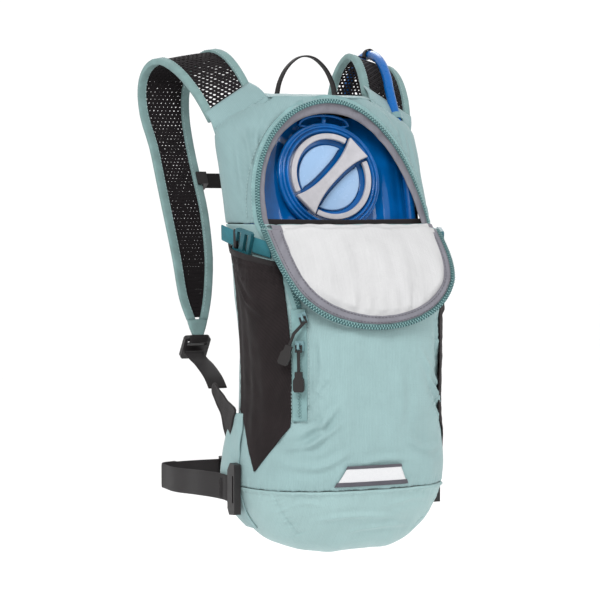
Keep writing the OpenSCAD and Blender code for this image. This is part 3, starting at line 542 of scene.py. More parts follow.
TEAL = srgb(160, 192, 193)
M = {
    "front": ripstop("ripstop_front", TEAL),
    "bottom": ripstop("ripstop_bottom", srgb(172, 204, 204)),
    "yoke": ripstop("ripstop_yoke", srgb(146, 177, 179)),
    "mesh": stretch_mesh("pocket_mesh", srgb(42, 36, 37)),
    "airmesh": stretch_mesh("strap_air_mesh", srgb(32, 28, 30), 0.0016),
    "back": stretch_mesh("back_mesh", srgb(38, 35, 37), 0.0032),
    "lining": ripstop("lining_cloth", srgb(222, 222, 223), 0.0011),
    "grey": tape("grey_binding", srgb(140, 139, 148)),
    "binding": tape("strap_edge_binding", srgb(134, 165, 164)),
    "black_web": webbing("black_webbing", srgb(42, 39, 40)),
    "teal_web": webbing("teal_webbing", srgb(56, 128, 141)),
    "black_tape": tape("black_tape", srgb(40, 36, 37)),
    "zip_tape": tape("zip_tape", srgb(140, 177, 178)),
    # painted shade: a dark strip under each zip coil stands for the shade between and under its teeth
    "zip_bed": tape("zip_bed", srgb(74, 112, 115)),
    "coil": moulded("zip_coil", srgb(150, 194, 194), 0.4),
    "slider": moulded("zip_slider", srgb(120, 160, 166), 0.3, coat=0.4),
    "black": moulded("black_acetal", srgb(38, 35, 36), 0.42, Specular_IOR_Level=0.35),
    "teal_buckle": moulded("teal_acetal", srgb(34, 102, 114), 0.4, coat=0.2),
    "rubber": moulded("black_rubber", srgb(40, 37, 37), 0.55, 500, Specular_IOR_Level=0.3),
    "thread": tape("thread", srgb(176, 205, 205), 0.0006),
    "grey_thread": tape("grey_thread", srgb(98, 96, 104), 0.0006),
    "black_thread": tape("black_thread", srgb(60, 57, 58), 0.0006),
    "film": clear("reservoir_film", srgb(4, 124, 216), 0.10, 0.2, 0.6),
    "cap": clear("cap_blue", srgb(2, 104, 184), 0.12, 0.08),
    "cap_pale": clear("cap_pale", srgb(166, 201, 240), 0.22, 0.05, 0.0, 0.06),
    "deep": clear("cap_channel", srgb(4, 70, 160), 0.15, 0.1),
    "handle": moulded("handle_grey", srgb(200, 198, 204), 0.38, 700, coat=0.2),
    "tube": clear("tube_blue", srgb(0, 104, 186), 0.25, 0.04, 0.0, 0.12),
    "silicone": moulded("mouthpiece_silicone", srgb(90, 150, 215), 0.5, 400),
}


def reflective():
    """Silvery retroreflective film: very fine beads."""
    m = Nodes("reflective_film", Roughness=0.35, Metallic=0.25, Coat_Weight=0.4)
    xyz = m.coords(False)
    v = m.node("TexVoronoi")
    v.inputs["Scale"].default_value = 2600
    m.link(xyz, v.inputs["Vector"])
    m.color(m.ramp(v.outputs["Distance"], [(0.0, srgb(252, 252, 253)), (0.8, srgb(226, 227, 230))]))
    m.bump(v.outputs["Distance"], 0.0001, 0.3)
    return m.mat


M["reflective"] = reflective()

# ---- Camera, light and stage -----------------------------------------------------------------
YAW, PITCH, DISTANCE = math.radians(27), math.radians(3), 2.2
TARGET = Vector((0, -0.030, 0))


def make_camera():
    data = bpy.data.cameras.new("camera")
    data.sensor_width, data.lens = 36, 136
    data.shift_x, data.shift_y = -0.0667, 0.05
    cam = add_object("camera", data)
    out = Vector((-math.sin(YAW) * math.cos(PITCH), -math.cos(YAW) * math.cos(PITCH), math.sin(PITCH)))
    cam.location = TARGET + out * DISTANCE
    cam.rotation_euler = out.to_track_quat("Z", "Y").to_euler()
    SCENE.camera = cam


def make_light(name, place, size, power, aim=(0, -0.03, 0.02)):
    data = bpy.data.lights.new(name, "AREA")
    data.shape, data.size, data.energy = "DISK", size, power
    lamp = add_object(name, data)
    lamp.location = place
    lamp.rotation_euler = (Vector(place) - Vector(aim)).to_track_quat("Z", "Y").to_euler()


def make_stage():
    # a pale sweep: floor, a smooth bend and a wall far behind
    reach, wall, bend, low = 3.4, 2.6, 0.9, -0.42
    arc = [(reach - bend + bend * math.sin(t), low + bend - bend * math.cos(t))
           for t in np.linspace(0, math.pi / 2, 14)]
    line = [(-reach, low), (0.5, low)] + arc + [(reach, wall)]
    c, s = math.cos(YAW), math.sin(YAW)
    verts = [(x * c + d * s, d * c - x * s, z) for x in (-5.0, 5.0) for d, z in line]
    n = len(line)
    faces = [[i, i + 1, n + i + 1, n + i] for i in range(n - 1)]
    mesh = bpy.data.meshes.new("stage")
    mesh.from_pydata(verts, [], faces)
    m = Nodes("stage_white", Roughness=0.9, Specular_IOR_Level=0.1)
    whites = [(0.3, (0.975, 0.975, 0.975, 1)), (0.7, (0.99, 0.99, 0.99, 1))]
    m.color(m.ramp(m.noise(m.coords(False), 3, 2), whites))
    mesh.materials.append(m.mat)
    for face in mesh.polygons:
        face.use_smooth = True
    add_object("stage", mesh)
    world = bpy.data.worlds.new("soft_white")
    world.use_nodes = True
    sky = world.node_tree.nodes["Background"]
    sky.inputs["Color"].default_value = (1, 1, 1, 1)
    sky.inputs["Strength"].default_value = 0.84
    SCENE.world = world
    make_light("key", (-1.3, -1.5, 1.6), 1.0, 42)
    make_light("fill", (1.7, -1.5, 0.7), 1.6, 14)
    make_light("rim", (0.6, 1.6, 1.4), 1.2, 14)
    SCENE.view_settings.view_transform = "Standard"


make_camera()
make_stage()


# ---- Shaping helpers -------------------------------------------------------------------------
def on_line(p, line):
    """Distance of points from a polyline, and how far along it each point comes closest."""
    best, along, start = np.full(p.shape[:-1], 1e9), np.zeros(p.shape[:-1]), 0.0
    for a, b in zip(line[:-1], line[1:]):
        ab = b - a
        length = max(np.linalg.norm(ab), 1e-6)
        t = np.clip(((p - a) @ ab) / length**2, 0, 1)
        d = np.linalg.norm(p - (a + t[..., None] * ab), axis=-1)
        along = np.where(d < best, start + t * length, along)
        best, start = np.minimum(d, best), start + length
    return best, along


def seam(p, n, line, depth=0.9, width=1.4, pucker=0.4, pitch=9.0, seed=1, reach=7.0):
    """Presses a sewn seam into a surface, with the small puckers that thread pulls in."""
    d, s = on_line(p, np.asarray(line, float))
    rng = np.random.default_rng(seed)
    wave = sum(np.sin(math.tau * s / (pitch * k) + rng.uniform(0, 6)) for k in (0.6, 1, 1.7, 2.9)) / 2.2
    off = -depth * bump(d, width) + pucker * wave * bump(np.maximum(0, d - width), reach)
    return p + off[..., None] * n


def crease(p, n, line, height=2.0, width=6.0, sharp=0.5):
    """A soft fold along a line: a ridge with a hollow beside it, fading at both ends."""
    line = np.asarray(line, float)
    d, s = on_line(p, line)
    total = np.linalg.norm(np.diff(line, axis=0), axis=1).sum()
    fade = np.sin(math.pi * np.clip(s / total, 0, 1)) ** 0.7
    off = height * fade * (bump(d, width * sharp) - 0.7 * bump(d - width * 1.1, width * 0.7))
    return p + off[..., None] * n


def skin_grid(a0, a1, na, z0, z1, nz):
    return skin(np.linspace(a0, a1, na)[None, :], np.linspace(z0, z1, nz)[:, None])


def mirrored(p):
    return np.asarray(p, float) * [-1, 1, 1]


def flipped(p, flip):
    return mirrored(p) if flip else np.asarray(p, float)


def across(count, axis):
    return np.tile(np.asarray(axis, float), (count, 1))


def tape_on(name, path, normals, width, t, lift):
    """A flat tape lying on a surface along a path."""
    n = unit(normals)
    return ribbon(name, path + n * (lift + t / 2), unit(np.cross(tangents(path), n)), width, t, 4)


def coil(name, path, normals, width=4.4, pitch=2.9, height=1.5):
    """Zip coil: two rows of small interlocked loops along a line."""
    c, t, side, n = line_frame(path, normals, pitch / 2, pitch, pitch / 2)
    c = c + side * (np.where(np.arange(len(c)) % 2, 1, -1) * width * 0.22)[:, None]
    return box_cloud(name, c, t, side, n, (pitch * 0.30, width * 0.60, height), 0.45)


def surface_normals(x, z, h=1.0):
    """Outward normals of the front surface."""
    dx = on_front(x + h, z) - on_front(x - h, z)
    dz = on_front(x, z + h) - on_front(x, z - h)
    return unit(np.cross(dx, dz))


# ---- Shell -----------------------------------------------------------------------------------
SEAM_LEFT, SEAM_RIGHT = 135.0, 45.0
DART = [(-102, -36, -116), (-92, -66, -95), (-75, -89, -80), (-59, -101, -56), (-50, -104.5, -44)]
# soft folds on the front: where each runs (x, z), its height and its width
FRONT_FOLDS = [([(58, -40), (76, -62), (90, -78)], 3.6, 5), ([(-90, -108), (-62, -101), (-34, -80)], 2.4, 5),
               ([(-88, -122), (-56, -124), (-26, -108)], 2.25, 6),
               ([(-74, -92), (-52, -80), (-38, -62)], 1.8, 5),
               ([(46, -14), (66, -40), (84, -52)], 1.65, 6), ([(-52, -70), (-58, -95), (-74, -112)], 2.25, 6),
               ([(30, -100), (56, -112), (78, -112)], 1.95, 6), ([(-58, 0), (-56, -30), (-60, -52)], 1.5, 5),
               ([(72, 14), (80, -16), (82, -48)], 1.95, 6), ([(-20, -122), (10, -118), (40, -121)], 1.35, 5),
               ([(20, -30), (26, -60), (22, -92)], 1.2, 9), ([(-30, -20), (-34, -60), (-28, -96)], 1.2, 9)]
edge_l, edge_r = (skin(np.full(40, a), np.linspace(-80, 106, 40)) for a in (SEAM_LEFT, SEAM_RIGHT))
bottom_line = skin(np.linspace(180, 0, 90), Z_SEAM)


def shell_folds(p, n):
    """Sewn seams, puckers and soft folds that all the shell pieces share."""
    p = p + (0.4 * ripple(p[..., 0], p[..., 2] * 0.35, 16, 3)
             + 0.8 * ripple(p[..., 0], p[..., 2], 46, 4))[..., None] * n
    for line, seed in ((edge_l, 5), (edge_r, 6)):
        p = seam(p, n, line, 1.3, 1.3, 0.5, 10, seed)
    p = seam(p, n, bottom_line, 1.2, 1.2, 0.55, 8, 8)
    p = seam(p, n, DART, 1.3, 1.2, 0.6, 8, 9)
    p = seam(p, n, mirrored(DART[:4]), 0.9, 1.2, 0.5, 8, 10)
    for x in (-80.5, -64.5):
        z = np.linspace(-84, 22, 30)
        p = seam(p, n, on_front(np.full(30, x), z), 0.8, 1.0, 0.25, 7, 11)
    for line, height, width in FRONT_FOLDS:
        q = spline(line, 14)
        p = crease(p, n, on_front(q[:, 0], q[:, 1]), height, width)
    return p


def shell_piece(name, grid, mat, nodes, extra=None):
    n = outward(grid)
    p = shell_folds(grid - n * 0.4, n)
    if extra:
        p = extra(p, n)
    obj = thicken(sheet_mesh(name, p), 1.2)
    return finish_piece(obj, mat, "pack", nodes)


shell_piece("front_cloth", skin_grid(180, 0, 230, Z_SEAM, 103, 140), "front",
            ["front_panel", "side_panel_left", "side_panel_right"])


def bottom_folds(p, n):
    dart = skin(np.array([147.0, 140, 133]), np.array([-150.0, -172, -196]))
    p = seam(p, n, dart, 1.1, 1.1, 0.6, 7, 21)
    p = seam(p, n, mirrored(dart), 1.0, 1.1, 0.6, 7, 22)
    wrinkles = ((120, 78, -178, 1.3), (100, 58, -190, 1.2), (84, 50, -164, 1.0), (135, 112, -164, 0.8))
    for a0, a1, z, h in wrinkles:
        line = skin(np.linspace(a0, a1, 12), z + 5 * np.sin(np.linspace(0, 3, 12)))
        p = crease(p, n, line, h, 5)
    d, _ = on_line(p, bottom_line)
    return p + (1.5 * bump(d - 2.2, 1.3))[..., None] * n


shell_piece("bottom_cloth", skin_grid(180, 0, 190, Z_BOTTOM + 0.4, Z_SEAM, 60), "bottom", ["bottom_panel"],
            bottom_folds)


def arch(s, out=0.0):
    s = np.radians(np.asarray(s, float))
    return (-(ARCH_HALF_W + out) * np.cos(s), Z_FOLD + (ARCH_H + out * 0.6) * np.sin(s))


SIDE_ARC = 55   # degrees of the arch that face the pack's side


def band_grid(ns, nt):
    """The cloth between the arch and the pack's outer edge, up both sides and along the top."""
    s = np.linspace(0, 180, ns)
    x, z = arch(s, 0.5)
    from_side = np.minimum(s, 180 - s)
    top_share = np.clip((180 - SIDE_ARC - s) / (180 - 2 * SIDE_ARC), 0, 1)
    out_z = lerp(Z_FOLD, Z_TOP, np.minimum(1, from_side / SIDE_ARC))
    t = np.linspace(0, 1, nt)[:, None]
    return skin(lerp(angle_at(x, z), 180 * top_share, t), lerp(np.minimum(z, Z_TOP - 1), out_z, t))


def upper_folds(p, n):
    s = np.linspace(0, 180, 90)
    for out, depth_, seed in ((7.5, 1.0, 31), (10.0, 0.5, 32)):
        x, z = arch(s, out)
        p = seam(p, n, on_front(x, np.minimum(z, Z_TOP - 0.5)), depth_, 0.9, 0.35, 7, seed)
    yoke = np.array([(-108, 26, 190), (-96, 20, 198), (-80, 16, 208), (-62, 12, 219), (-52, 12, 227)], float)
    tilt = [[(-88, 0, 196), (-87, 0, 170), (-90, 0, 140)], [(-76, 0, 204), (-80, 0, 180), (-86, 0, 158)],
            [(-64, 0, 214), (-74, 0, 196), (-80, 0, 184)], [(-97, 0, 186), (-98, 0, 160), (-99, 0, 130)]]
    for flip in (1, -1):
        k = np.array([flip, 1, 1])
        p = seam(p, n, yoke * k, 1.3, 1.2, 0.5, 8, 33)
        for i, line in enumerate(tilt):
            q = spline(line, 12) * k
            p = crease(p, n, on_front(q[:, 0], np.minimum(q[:, 2], 225)), (1.5, 1.3, 1.0, 1.2)[i], 4.5)
    return p


shell_piece("upper_cloth", band_grid(220, 46), "yoke", ["upper_panel"], upper_folds)



def grid_of(x, y, z):
    return np.stack(np.broadcast_arrays(x, y, z), -1)


t = np.linspace(0, 1, 14)[:, None]
rim = skin(np.linspace(177, 3, 100)[None, :], Z_TOP)
crown = Z_TOP + 0.3 + 4.2 * np.sin(math.pi / 2 * t) + 0.4 * ripple(rim[..., 0], t * 30, 30, 41)
top = grid_of(rim[..., 0] * (1 - 0.04 * t), lerp(rim[..., 1], back_y(Z_TOP) - 0.5, t), crown)
finish_piece(thicken(sheet_mesh("top_cloth", top), 1.2), "yoke", "pack", ["top_panel"])

# ---- Back ------------------------------------------------------------------------------------
z = np.linspace(-206, Z_TOP + 2, 110)[:, None]
u = np.linspace(1, -1, 60)[None, :]
back = grid_of(u * (half_w(z) - 2.4), back_y(z) + 1.2 + 0.5 * ripple(u * 100, z, 40, 51), z)
finish_piece(thicken(sheet_mesh("back_cloth", back), 1.4), "back", "pack", ["back_panel"])


def pad_source(name, z0, z1, w, flat):
    """A closed slab slightly smaller than the pad, which the cloth simulation then swells."""
    nz, nx = 26, 24
    z = np.linspace(z0, z1, nz)[:, None]
    u = np.linspace(-1, 1, nx)[None, :]
    x = u * w * (1 - 0.22 * np.abs(2 * (z - z0) / (z1 - z0) - 1) ** 4) / 2
    low = np.full_like(x, -5.3) if flat else back_y(z) + 0.6 + 0 * x
    high = low + (4.2 if flat else 6.6) - 1.6 * np.abs(u) ** 6
    count = nz * nx
    faces = grid_faces(nz, nx)
    faces = [f[::-1] for f in faces] + [[count + k for k in f] for f in faces]
    ring = (list(range(nx)) + [i * nx + nx - 1 for i in range(1, nz)]
            + [(nz - 1) * nx + j for j in range(nx - 2, -1, -1)] + [i * nx for i in range(nz - 2, 0, -1)])
    faces += [[a, b, count + b, count + a] for a, b in zip(ring, ring[1:] + ring[:1])]
    verts = np.concatenate([grid_of(x, y, z).reshape(-1, 3) for y in (high, low)])
    return from_faces(name, verts, faces)


def swell(obj, limit, channels):
    """Cloth simulation of a stuffed pad, its movement capped, then sewn channels pressed in."""
    m = obj.modifiers.new("remesh", "REMESH")
    m.mode, m.voxel_size = "VOXEL", 0.0030
    dg = bpy.context.evaluated_depsgraph_get()
    mesh = bpy.data.meshes.new_from_object(obj.evaluated_get(dg))
    obj.modifiers.clear()
    obj.data = mesh
    before = np.array([v.co[:] for v in mesh.vertices])
    cloth = obj.modifiers.new("cloth", "CLOTH")
    s = cloth.settings
    s.quality, s.use_pressure, s.uniform_pressure_force = 4, True, 4.0
    s.effector_weights.gravity = 0
    s.tension_stiffness = s.compression_stiffness = 12
    for f in range(1, 13):
        SCENE.frame_set(f)
    dg = bpy.context.evaluated_depsgraph_get()
    done = bpy.data.meshes.new_from_object(obj.evaluated_get(dg))
    after = np.array([v.co[:] for v in done.vertices])
    obj.modifiers.clear()
    SCENE.frame_set(1)
    move = after - before
    far = np.linalg.norm(move, axis=1, keepdims=True)
    before = before + move * np.minimum(1, limit * MM / np.maximum(far, 1e-9))
    p = before / MM
    for line in channels:
        d, _ = on_line(p * [1, 0, 1], np.asarray(line, float) * [1, 0, 1])
        p[:, 1] -= 1.6 * bump(d, 2.2)
    if obj.name == "pad_middle":
        p[:, 1] = np.minimum(p[:, 1], -0.15)   # it stays behind the pack's flat face at y = 0
    mesh.vertices.foreach_set("co", (p * MM).ravel())
    mesh.update()
    return soften(obj)


middle = swell(pad_source("pad_middle", -59, 43, 146, True), 2.0,
               [[(0, 0, -56), (0, 0, 40)], [(-70, 0, -8), (70, 0, -8)]])
finish_piece(middle, "airmesh", "pack", ["back_pad"])
for name, z0, z1 in (("pad_low", -157, -75), ("pad_high", 63, 169)):
    pad = swell(pad_source(name, z0, z1, 144, False), 2.2, [[(0, 0, z0 + 3), (0, 0, z1 - 3)]])
    finish_piece(pad, "airmesh", "pack", ["back_pads_outer"])


# ---- Side pockets and sleeve -----------------------------------------------------------------
def pocket_grid(rows, cols, bulge):
    a = np.linspace(178.8, 137.8, cols)[None, :]
    f = (a - 137.5) / 42
    top = lerp(66, 84, f)
    foot = np.where(a < 162, lerp(-86, -132, (a - 137.5) / 25), lerp(-132, -74, (a - 162) / 17))
    t = np.linspace(0, 1, rows)[:, None]
    z = foot + (top - foot) * t
    return skin(a, z, 1.2 + bulge * t**1.4 * np.sin(math.pi * (a - 137.5) / 41.5))


for side, flip, bulge in (("left", False, 14.5), ("right", True, 4.5)):
    p = pocket_grid(110, 56, bulge)
    n = outward(p)
    p = p + (0.7 * ripple(p[..., 1] * 2.2, p[..., 2] * 0.5, 40, 61)
             + 0.25 * ripple(p[..., 1], p[..., 2], 12, 62))[..., None] * n
    for back_rows, depth_ in ((6, 1.0), (13, 0.9)):
        p = seam(p, n, p[-1 - back_rows], depth_, 0.9, 0.35, 7, 63)
    line = np.array([p[-16, 6], p[-26, 18], p[-32, 34], p[-28, 48]])
    p = crease(p, n, line, 1.6, 5)
    rim_n = n[-1]
    if flip:
        p, rim_n = mirrored(p)[:, ::-1], mirrored(rim_n)[::-1]
    rim_line = p[-1]
    cloth = thicken(sheet_mesh("pocket_mesh_" + side, p), 1.0)
    finish_piece(cloth, "mesh", "pack", ["side_pocket_" + side])
    hem_side = np.cross(tangents(rim_line), rim_n)
    hem = ribbon("pocket_hem_" + side, rim_line + [0, 0, -1.6], hem_side, 5.5, 1.9, 4)
    finish_piece(hem, "black_tape", "pack", ())


def divider_y(z):
    return lerp(-33, -41, np.clip((107 - z) / 80, 0, 1))


z = np.linspace(-185, 106.5, 120)[:, None]
u = np.linspace(-1, 1, 60)[None, :]
behind = np.clip((back_y(z) - divider_y(z)) / (depth(z) - 1.2), 0, 1)
x = u * ((half_w(z) - 1.2) * (1 - behind ** at(z, 4)) ** (1 / at(z, 4)) - 6)
sleeve = grid_of(x, divider_y(z) - 0.7 + 0.35 * ripple(x, z, 34, 71), z)
finish_piece(thicken(sheet_mesh("sleeve_cloth", sleeve), 1.0), "lining", "pack", ["sleeve_divider"])
x = np.linspace(-90, 90, 90)
band = grid_of(x, -34.6 - 0.4 * np.abs(x) / 90 + 0.3 * ripple(x, x * 0, 40, 72), 102.6 - 1.2 * np.cos(x / 60))
band_obj = ribbon("sleeve_band", band, across(90, (0, 0, 1)), 11, 2.0, 4)
finish_piece(band_obj, "black_tape", "pack", ())

# ---- Reservoir -------------------------------------------------------------------------------
CAP_P = np.array([0, -16.0, 150.0])   # the cap's place
LEAN = math.radians(77)               # the turn that faces it forward, a little upward


def cap_world(p):
    """From the cap's own frame (z outward, y up) to the pack's frame."""
    p = np.asarray(p, float)
    c, s = math.cos(LEAN), math.sin(LEAN)
    return CAP_P + np.stack([p[..., 0], p[..., 1] * c - p[..., 2] * s, p[..., 1] * s + p[..., 2] * c], -1)


def bag_full(z):
    """How full the bag stands at each height, as a share of its full depth."""
    middle = np.where(z > -140, lerp(1, 0.78, np.clip((z + 40) / 100, 0, 1)), lerp(0.15, 1, (z + 165) / 25))
    return np.where(z > 100, lerp(0.30, 0.22, (z - 100) / 96),
                    np.where(z > 60, lerp(0.78, 0.30, (z - 60) / 40), middle))


def bag_w(z):
    wide = lerp(72, 90, np.clip((z - 60) / 40, 0, 1))
    foot = np.where(z < -140, lerp(0.8, 1, (z + 165) / 25), 1)
    return wide * np.where(z > 150, lerp(1, 0.80, ((z - 150) / 46) ** 2), foot)


z = np.linspace(-165, 207, 174)[:, None]
u = np.linspace(-1, 1, 110)[None, :]
x = u * bag_w(z)
weld = 0.9 * bump(np.abs(u) - 0.93, 0.02) + 0.5 * bump(np.abs(u) - 0.975, 0.012)
folds = 0.9 * ripple(x, z * 0.16, 17, 81) + 0.7 * ripple(x + z * 0.12, z * 0.1, 30, 82)
folds = folds * (1 - np.abs(u) ** 6)
y_front = back_y(z) - 5.2 - 22 * bag_full(z) * (1 - np.abs(u) ** 3) - folds - weld
front_film = sheet_mesh("film_front", grid_of(x, y_front, z))
back_film = sheet_mesh("film_back", grid_of(x, back_y(z) - 4.2, z)[:, ::-1])
bag = joined("reservoir_film", [front_film, thicken(back_film, 0.4)])
finish_piece(bag, "film", "pack", ["reservoir_bag"])


def lathe(name, profile):
    """A piece turned about the cap's axis from (radius, height) points."""
    prof = np.asarray(profile, float)
    steps = 96
    ang = np.linspace(0, math.tau, steps, endpoint=False)
    p = grid_of(prof[:, None, 0] * np.cos(ang), prof[:, None, 0] * np.sin(ang), prof[:, 1:2])
    return from_faces(name, cap_world(p.reshape(-1, 3)), grid_faces(len(prof), steps, True))


def plate_mesh(name, outline, low, high, bevel):
    """A thick plate with rounded edges from a closed outline in the cap's frame."""
    n = len(outline)
    verts = np.concatenate([np.c_[outline, np.full(n, h)] for h in (low, high)])
    faces = [list(range(n))[::-1], [n + i for i in range(n)]]
    faces += [[i, (i + 1) % n, n + (i + 1) % n, n + i] for i in range(n)]
    obj = from_faces(name, cap_world(verts), faces)
    m = obj.modifiers.new("edge", "BEVEL")
    m.width, m.segments, m.limit_method, m.angle_limit = bevel * MM, 3, "ANGLE", math.radians(50)
    return obj


def arc2(radius, a0, a1, count):
    a = np.radians(np.linspace(a0, a1, count))
    return radius * np.stack([np.cos(a), np.sin(a)], -1)


def rot2(p, deg):
    c, s = math.cos(math.radians(deg)), math.sin(math.radians(deg))
    p = np.asarray(p, float)
    return np.stack([p[:, 0] * c - p[:, 1] * s, p[:, 0] * s + p[:, 1] * c], -1)


rim_profile = [(33.5, -14), (33.5, -11.2), (35, -10.6), (43.6, -10.6), (44.6, -9.6), (45.0, -7.0), (45.8, -5.2),
               (46.8, -4.6), (47.8, -5.2), (48.2, -7.4), (48.7, -8.2), (49.3, -7.4), (49.9, -6.0), (50.9, -5.6),
               (51.7, -6.6), (52.0, -8.2), (52.6, -8.6), (53.2, -8.0), (54.1, -8.0), (55, -9.2), (55, -12.6),
               (53.6, -14.3), (33.5, -14)]
deck_profile = [(0.05, -11.4), (20, -11.4), (33.7, -11.4)]
rim_obj = joined("cap_rim", [lathe("a", rim_profile), lathe("b", deck_profile)])
finish_piece(rim_obj, "cap", "cap", ["reservoir_cap"])

TURN = 42   # how far the cap's bar is turned, degrees
windows, parts = [], []
chord_x = np.linspace(-29.5, 29.5, 26)
chord = np.stack([chord_x, 9.8 + 3.2 * np.abs(chord_x / 30) ** 3], -1)[1:-1]
bar_x = np.linspace(-1, 1, 41)
bar_top = np.stack([bar_x * 43.4, 5.4 + 7.8 * np.abs(bar_x) ** 2.6], -1)
bar = np.concatenate([bar_top, bar_top[::-1] * [1, -1]])
parts.append(plate_mesh("bar", rot2(bar, TURN), -6.2, -0.2, 1.3))
for turn in (TURN, TURN + 180):
    window = np.concatenate([arc2(32.6, 21, 159, 40), chord])
    windows.append(plate_mesh("window", rot2(window, turn), -11.3, -8.6, 0.9))
    hoop = np.concatenate([arc2(43.2, 19, 160, 60), arc2(37.6, 160, 19, 60)])
    parts.append(plate_mesh("hoop", rot2(hoop, turn), -7.4, -3.2, 0.9))
finish_piece(joined("cap_windows", windows), "cap_pale", "cap", ())
finish_piece(joined("handle_s", parts), "handle", "cap", ["cap_handle"])

s = np.radians(np.linspace(0, 180, 30))
by = back_y(198) - 20
arc_path = grid_of(-26.5 * np.cos(s), by, 198 + 10.6 * np.sin(s) ** 0.8)
low_path = grid_of(np.linspace(-26, 26, 20), by - 0.2, 198.6 - 2.2 * np.cos(np.linspace(-1.5, 1.5, 20)))
post = [(0, by, 198), (0, by, 203), (0, by, 208)]
hang = [ribbon("hanger", path, across(len(path), (0, 1, 0)), width, t, 5)
        for path, width, t in ((arc_path, 6, 2.6), (low_path, 6, 2.2), (post, 5.6, 4.4))]
finish_piece(joined("hanger_loop", hang), "cap", "pack", ["reservoir_hanger"])

# ---- Shoulder straps and drinking tube -------------------------------------------------------
STRAP_POINTS = [(-86, 36, 217), (-92, 54, 241), (-98, 80, 261), (-103, 110, 269), (-106, 138, 260),
                (-107, 154, 240), (-105, 157, 212), (-103, 144, 180), (-103, 126, 146), (-103, 108, 112),
                (-98, 103, 68), (-95, 104, 30), (-94, 101, 6)]
STRAP_SIDES = [(-0.83, -0.12, -0.54), (-0.88, -0.1, -0.46), (-0.94, 0.02, -0.33), (-0.97, 0.13, -0.18),
               (-0.99, 0.13, -0.06), (-1, 0.08, 0), (-1, 0.04, 0)] + [(-1, 0, 0)] * 6
TAPER = [1, 1, 0.99, 0.97, 0.94, 0.92, 0.88, 0.80, 0.80, 0.80, 0.72, 0.58, 0.36]
STRAP_W, STRAP_T, BINDING_W, TUBE_D = 60.0, 6.0, 9.0, 9.5
strap_path = catmull(STRAP_POINTS, 3)
strap_side = unit(catmull(STRAP_SIDES, 3))
strap_width = STRAP_W * catmull(np.array(TAPER)[:, None], 3)[:, 0]
strap_last = len(strap_path) - 1
strap_tg = unit(np.array([strap_path[min(strap_last, i + 1)] - strap_path[max(0, i - 1)]
                          for i in range(strap_last + 1)]))
strap_nrm = unit(np.cross(strap_tg, strap_side))
strap_s = lengths(strap_path)


def on_strap(u, v, lift=0.0):
    """A point of the strap: u across, v along, lifted off its middle surface."""
    u, v, lift = np.broadcast_arrays(np.asarray(u, float), np.asarray(v, float), lift)
    place, side, out = (sample(v, strap_s, a) for a in (strap_path, strap_side, strap_nrm))
    return place + u[..., None] * unit(side) + lift[..., None] * unit(out)


def strap_half(v):
    return np.interp(v, strap_s, strap_width) / 2


# how wide the eyes stand open along each strap
EYES_LEFT = ([0, 12, 72, 96, 150, 240, 300, 400], [0.9, 1, 0.95, 0.5, 0.45, 0.5, 0.36, 0.16])
EYES_RIGHT = ([0, 12, 40, 70, 110, 240, 300, 400], [0.9, 1, 0.6, 0.4, 1, 1, 0.4, 0.16])
EYE_SLANT = 0.44


def lattice(name, flip):
    """Knitted air mesh: a brick pattern of cells, each with an oval eye that narrows down the strap."""
    rng = np.random.default_rng(91)
    cols, rows, total = 9, 104, strap_s[-1] - 6
    index, verts, uvs, faces = {}, [], [], []

    def vert(q, v, lift):
        key = (round(q, 4), round(v, 3), lift)
        if key not in index:
            index[key] = len(verts)
            inner = strap_half(v) - BINDING_W + 1.8
            verts.append((q * inner, v, lift))
            uvs.append((q * inner, v))
        return index[key]

    dv = total / rows
    for j in range(rows):
        shift = 0.5 if j % 2 else 0.0
        for i in range(cols + (1 if shift else 0)):
            q0, q1 = max(-1.0, -1 + 2 * (i - shift) / cols), min(1.0, -1 + 2 * (i + 1 - shift) / cols)
            qm = (q0 + q1) / 2
            v0, v1 = 3 + j * dv, 3 + (j + 1) * dv
            vm = (v0 + v1) / 2
            ring = [(q0, v0), (qm, v0), (q1, v0), (q1, vm), (q1, v1), (qm, v1), (q0, v1), (q0, vm)]
            outer_ring = [vert(a, b, 0.0) for a, b in ring]
            inner = strap_half(vm) - BINDING_W
            open_ = np.interp(vm, *(EYES_RIGHT if flip else EYES_LEFT)) * rng.uniform(0.55, 1.0)
            if q1 - q0 < 1.2 / cols or open_ < 0.14:
                faces.append(outer_ring)
                continue
            ru, rv = 1.7 * open_ / inner, 1.75 * open_
            eye = []
            for a, b in ring:
                ang = math.atan2(b - vm, (a - qm) * inner)
                cu, cv = math.cos(ang), math.sin(ang)
                eye.append(vert(qm + ru * cu + EYE_SLANT * rv * cv / inner, vm + rv * cv, -0.35))
            faces += [[outer_ring[m], outer_ring[(m + 1) % 8], eye[(m + 1) % 8], eye[m]] for m in range(8)]
    arr = np.array(verts)
    p = on_strap(arr[:, 0], arr[:, 1], arr[:, 2] + 0.9 * (1 - (arr[:, 0] / 24) ** 2))
    faces = [f[::-1] for f in faces] if flip else faces
    return thicken(from_faces(name, flipped(p, flip), faces, np.array(uvs)), 1.6, 0.0)


def strap_ribbon(u_of, v, width, t, cols, flip, lift=0.0):
    """A strip lying along the strap, across which u_of(v) places it."""
    u = u_of(v)
    path, side = on_strap(u, v, lift), on_strap(u + 1, v) - on_strap(u, v)
    return ribbon("strip", flipped(path, flip), -mirrored(side) if flip else side, width, t, cols)


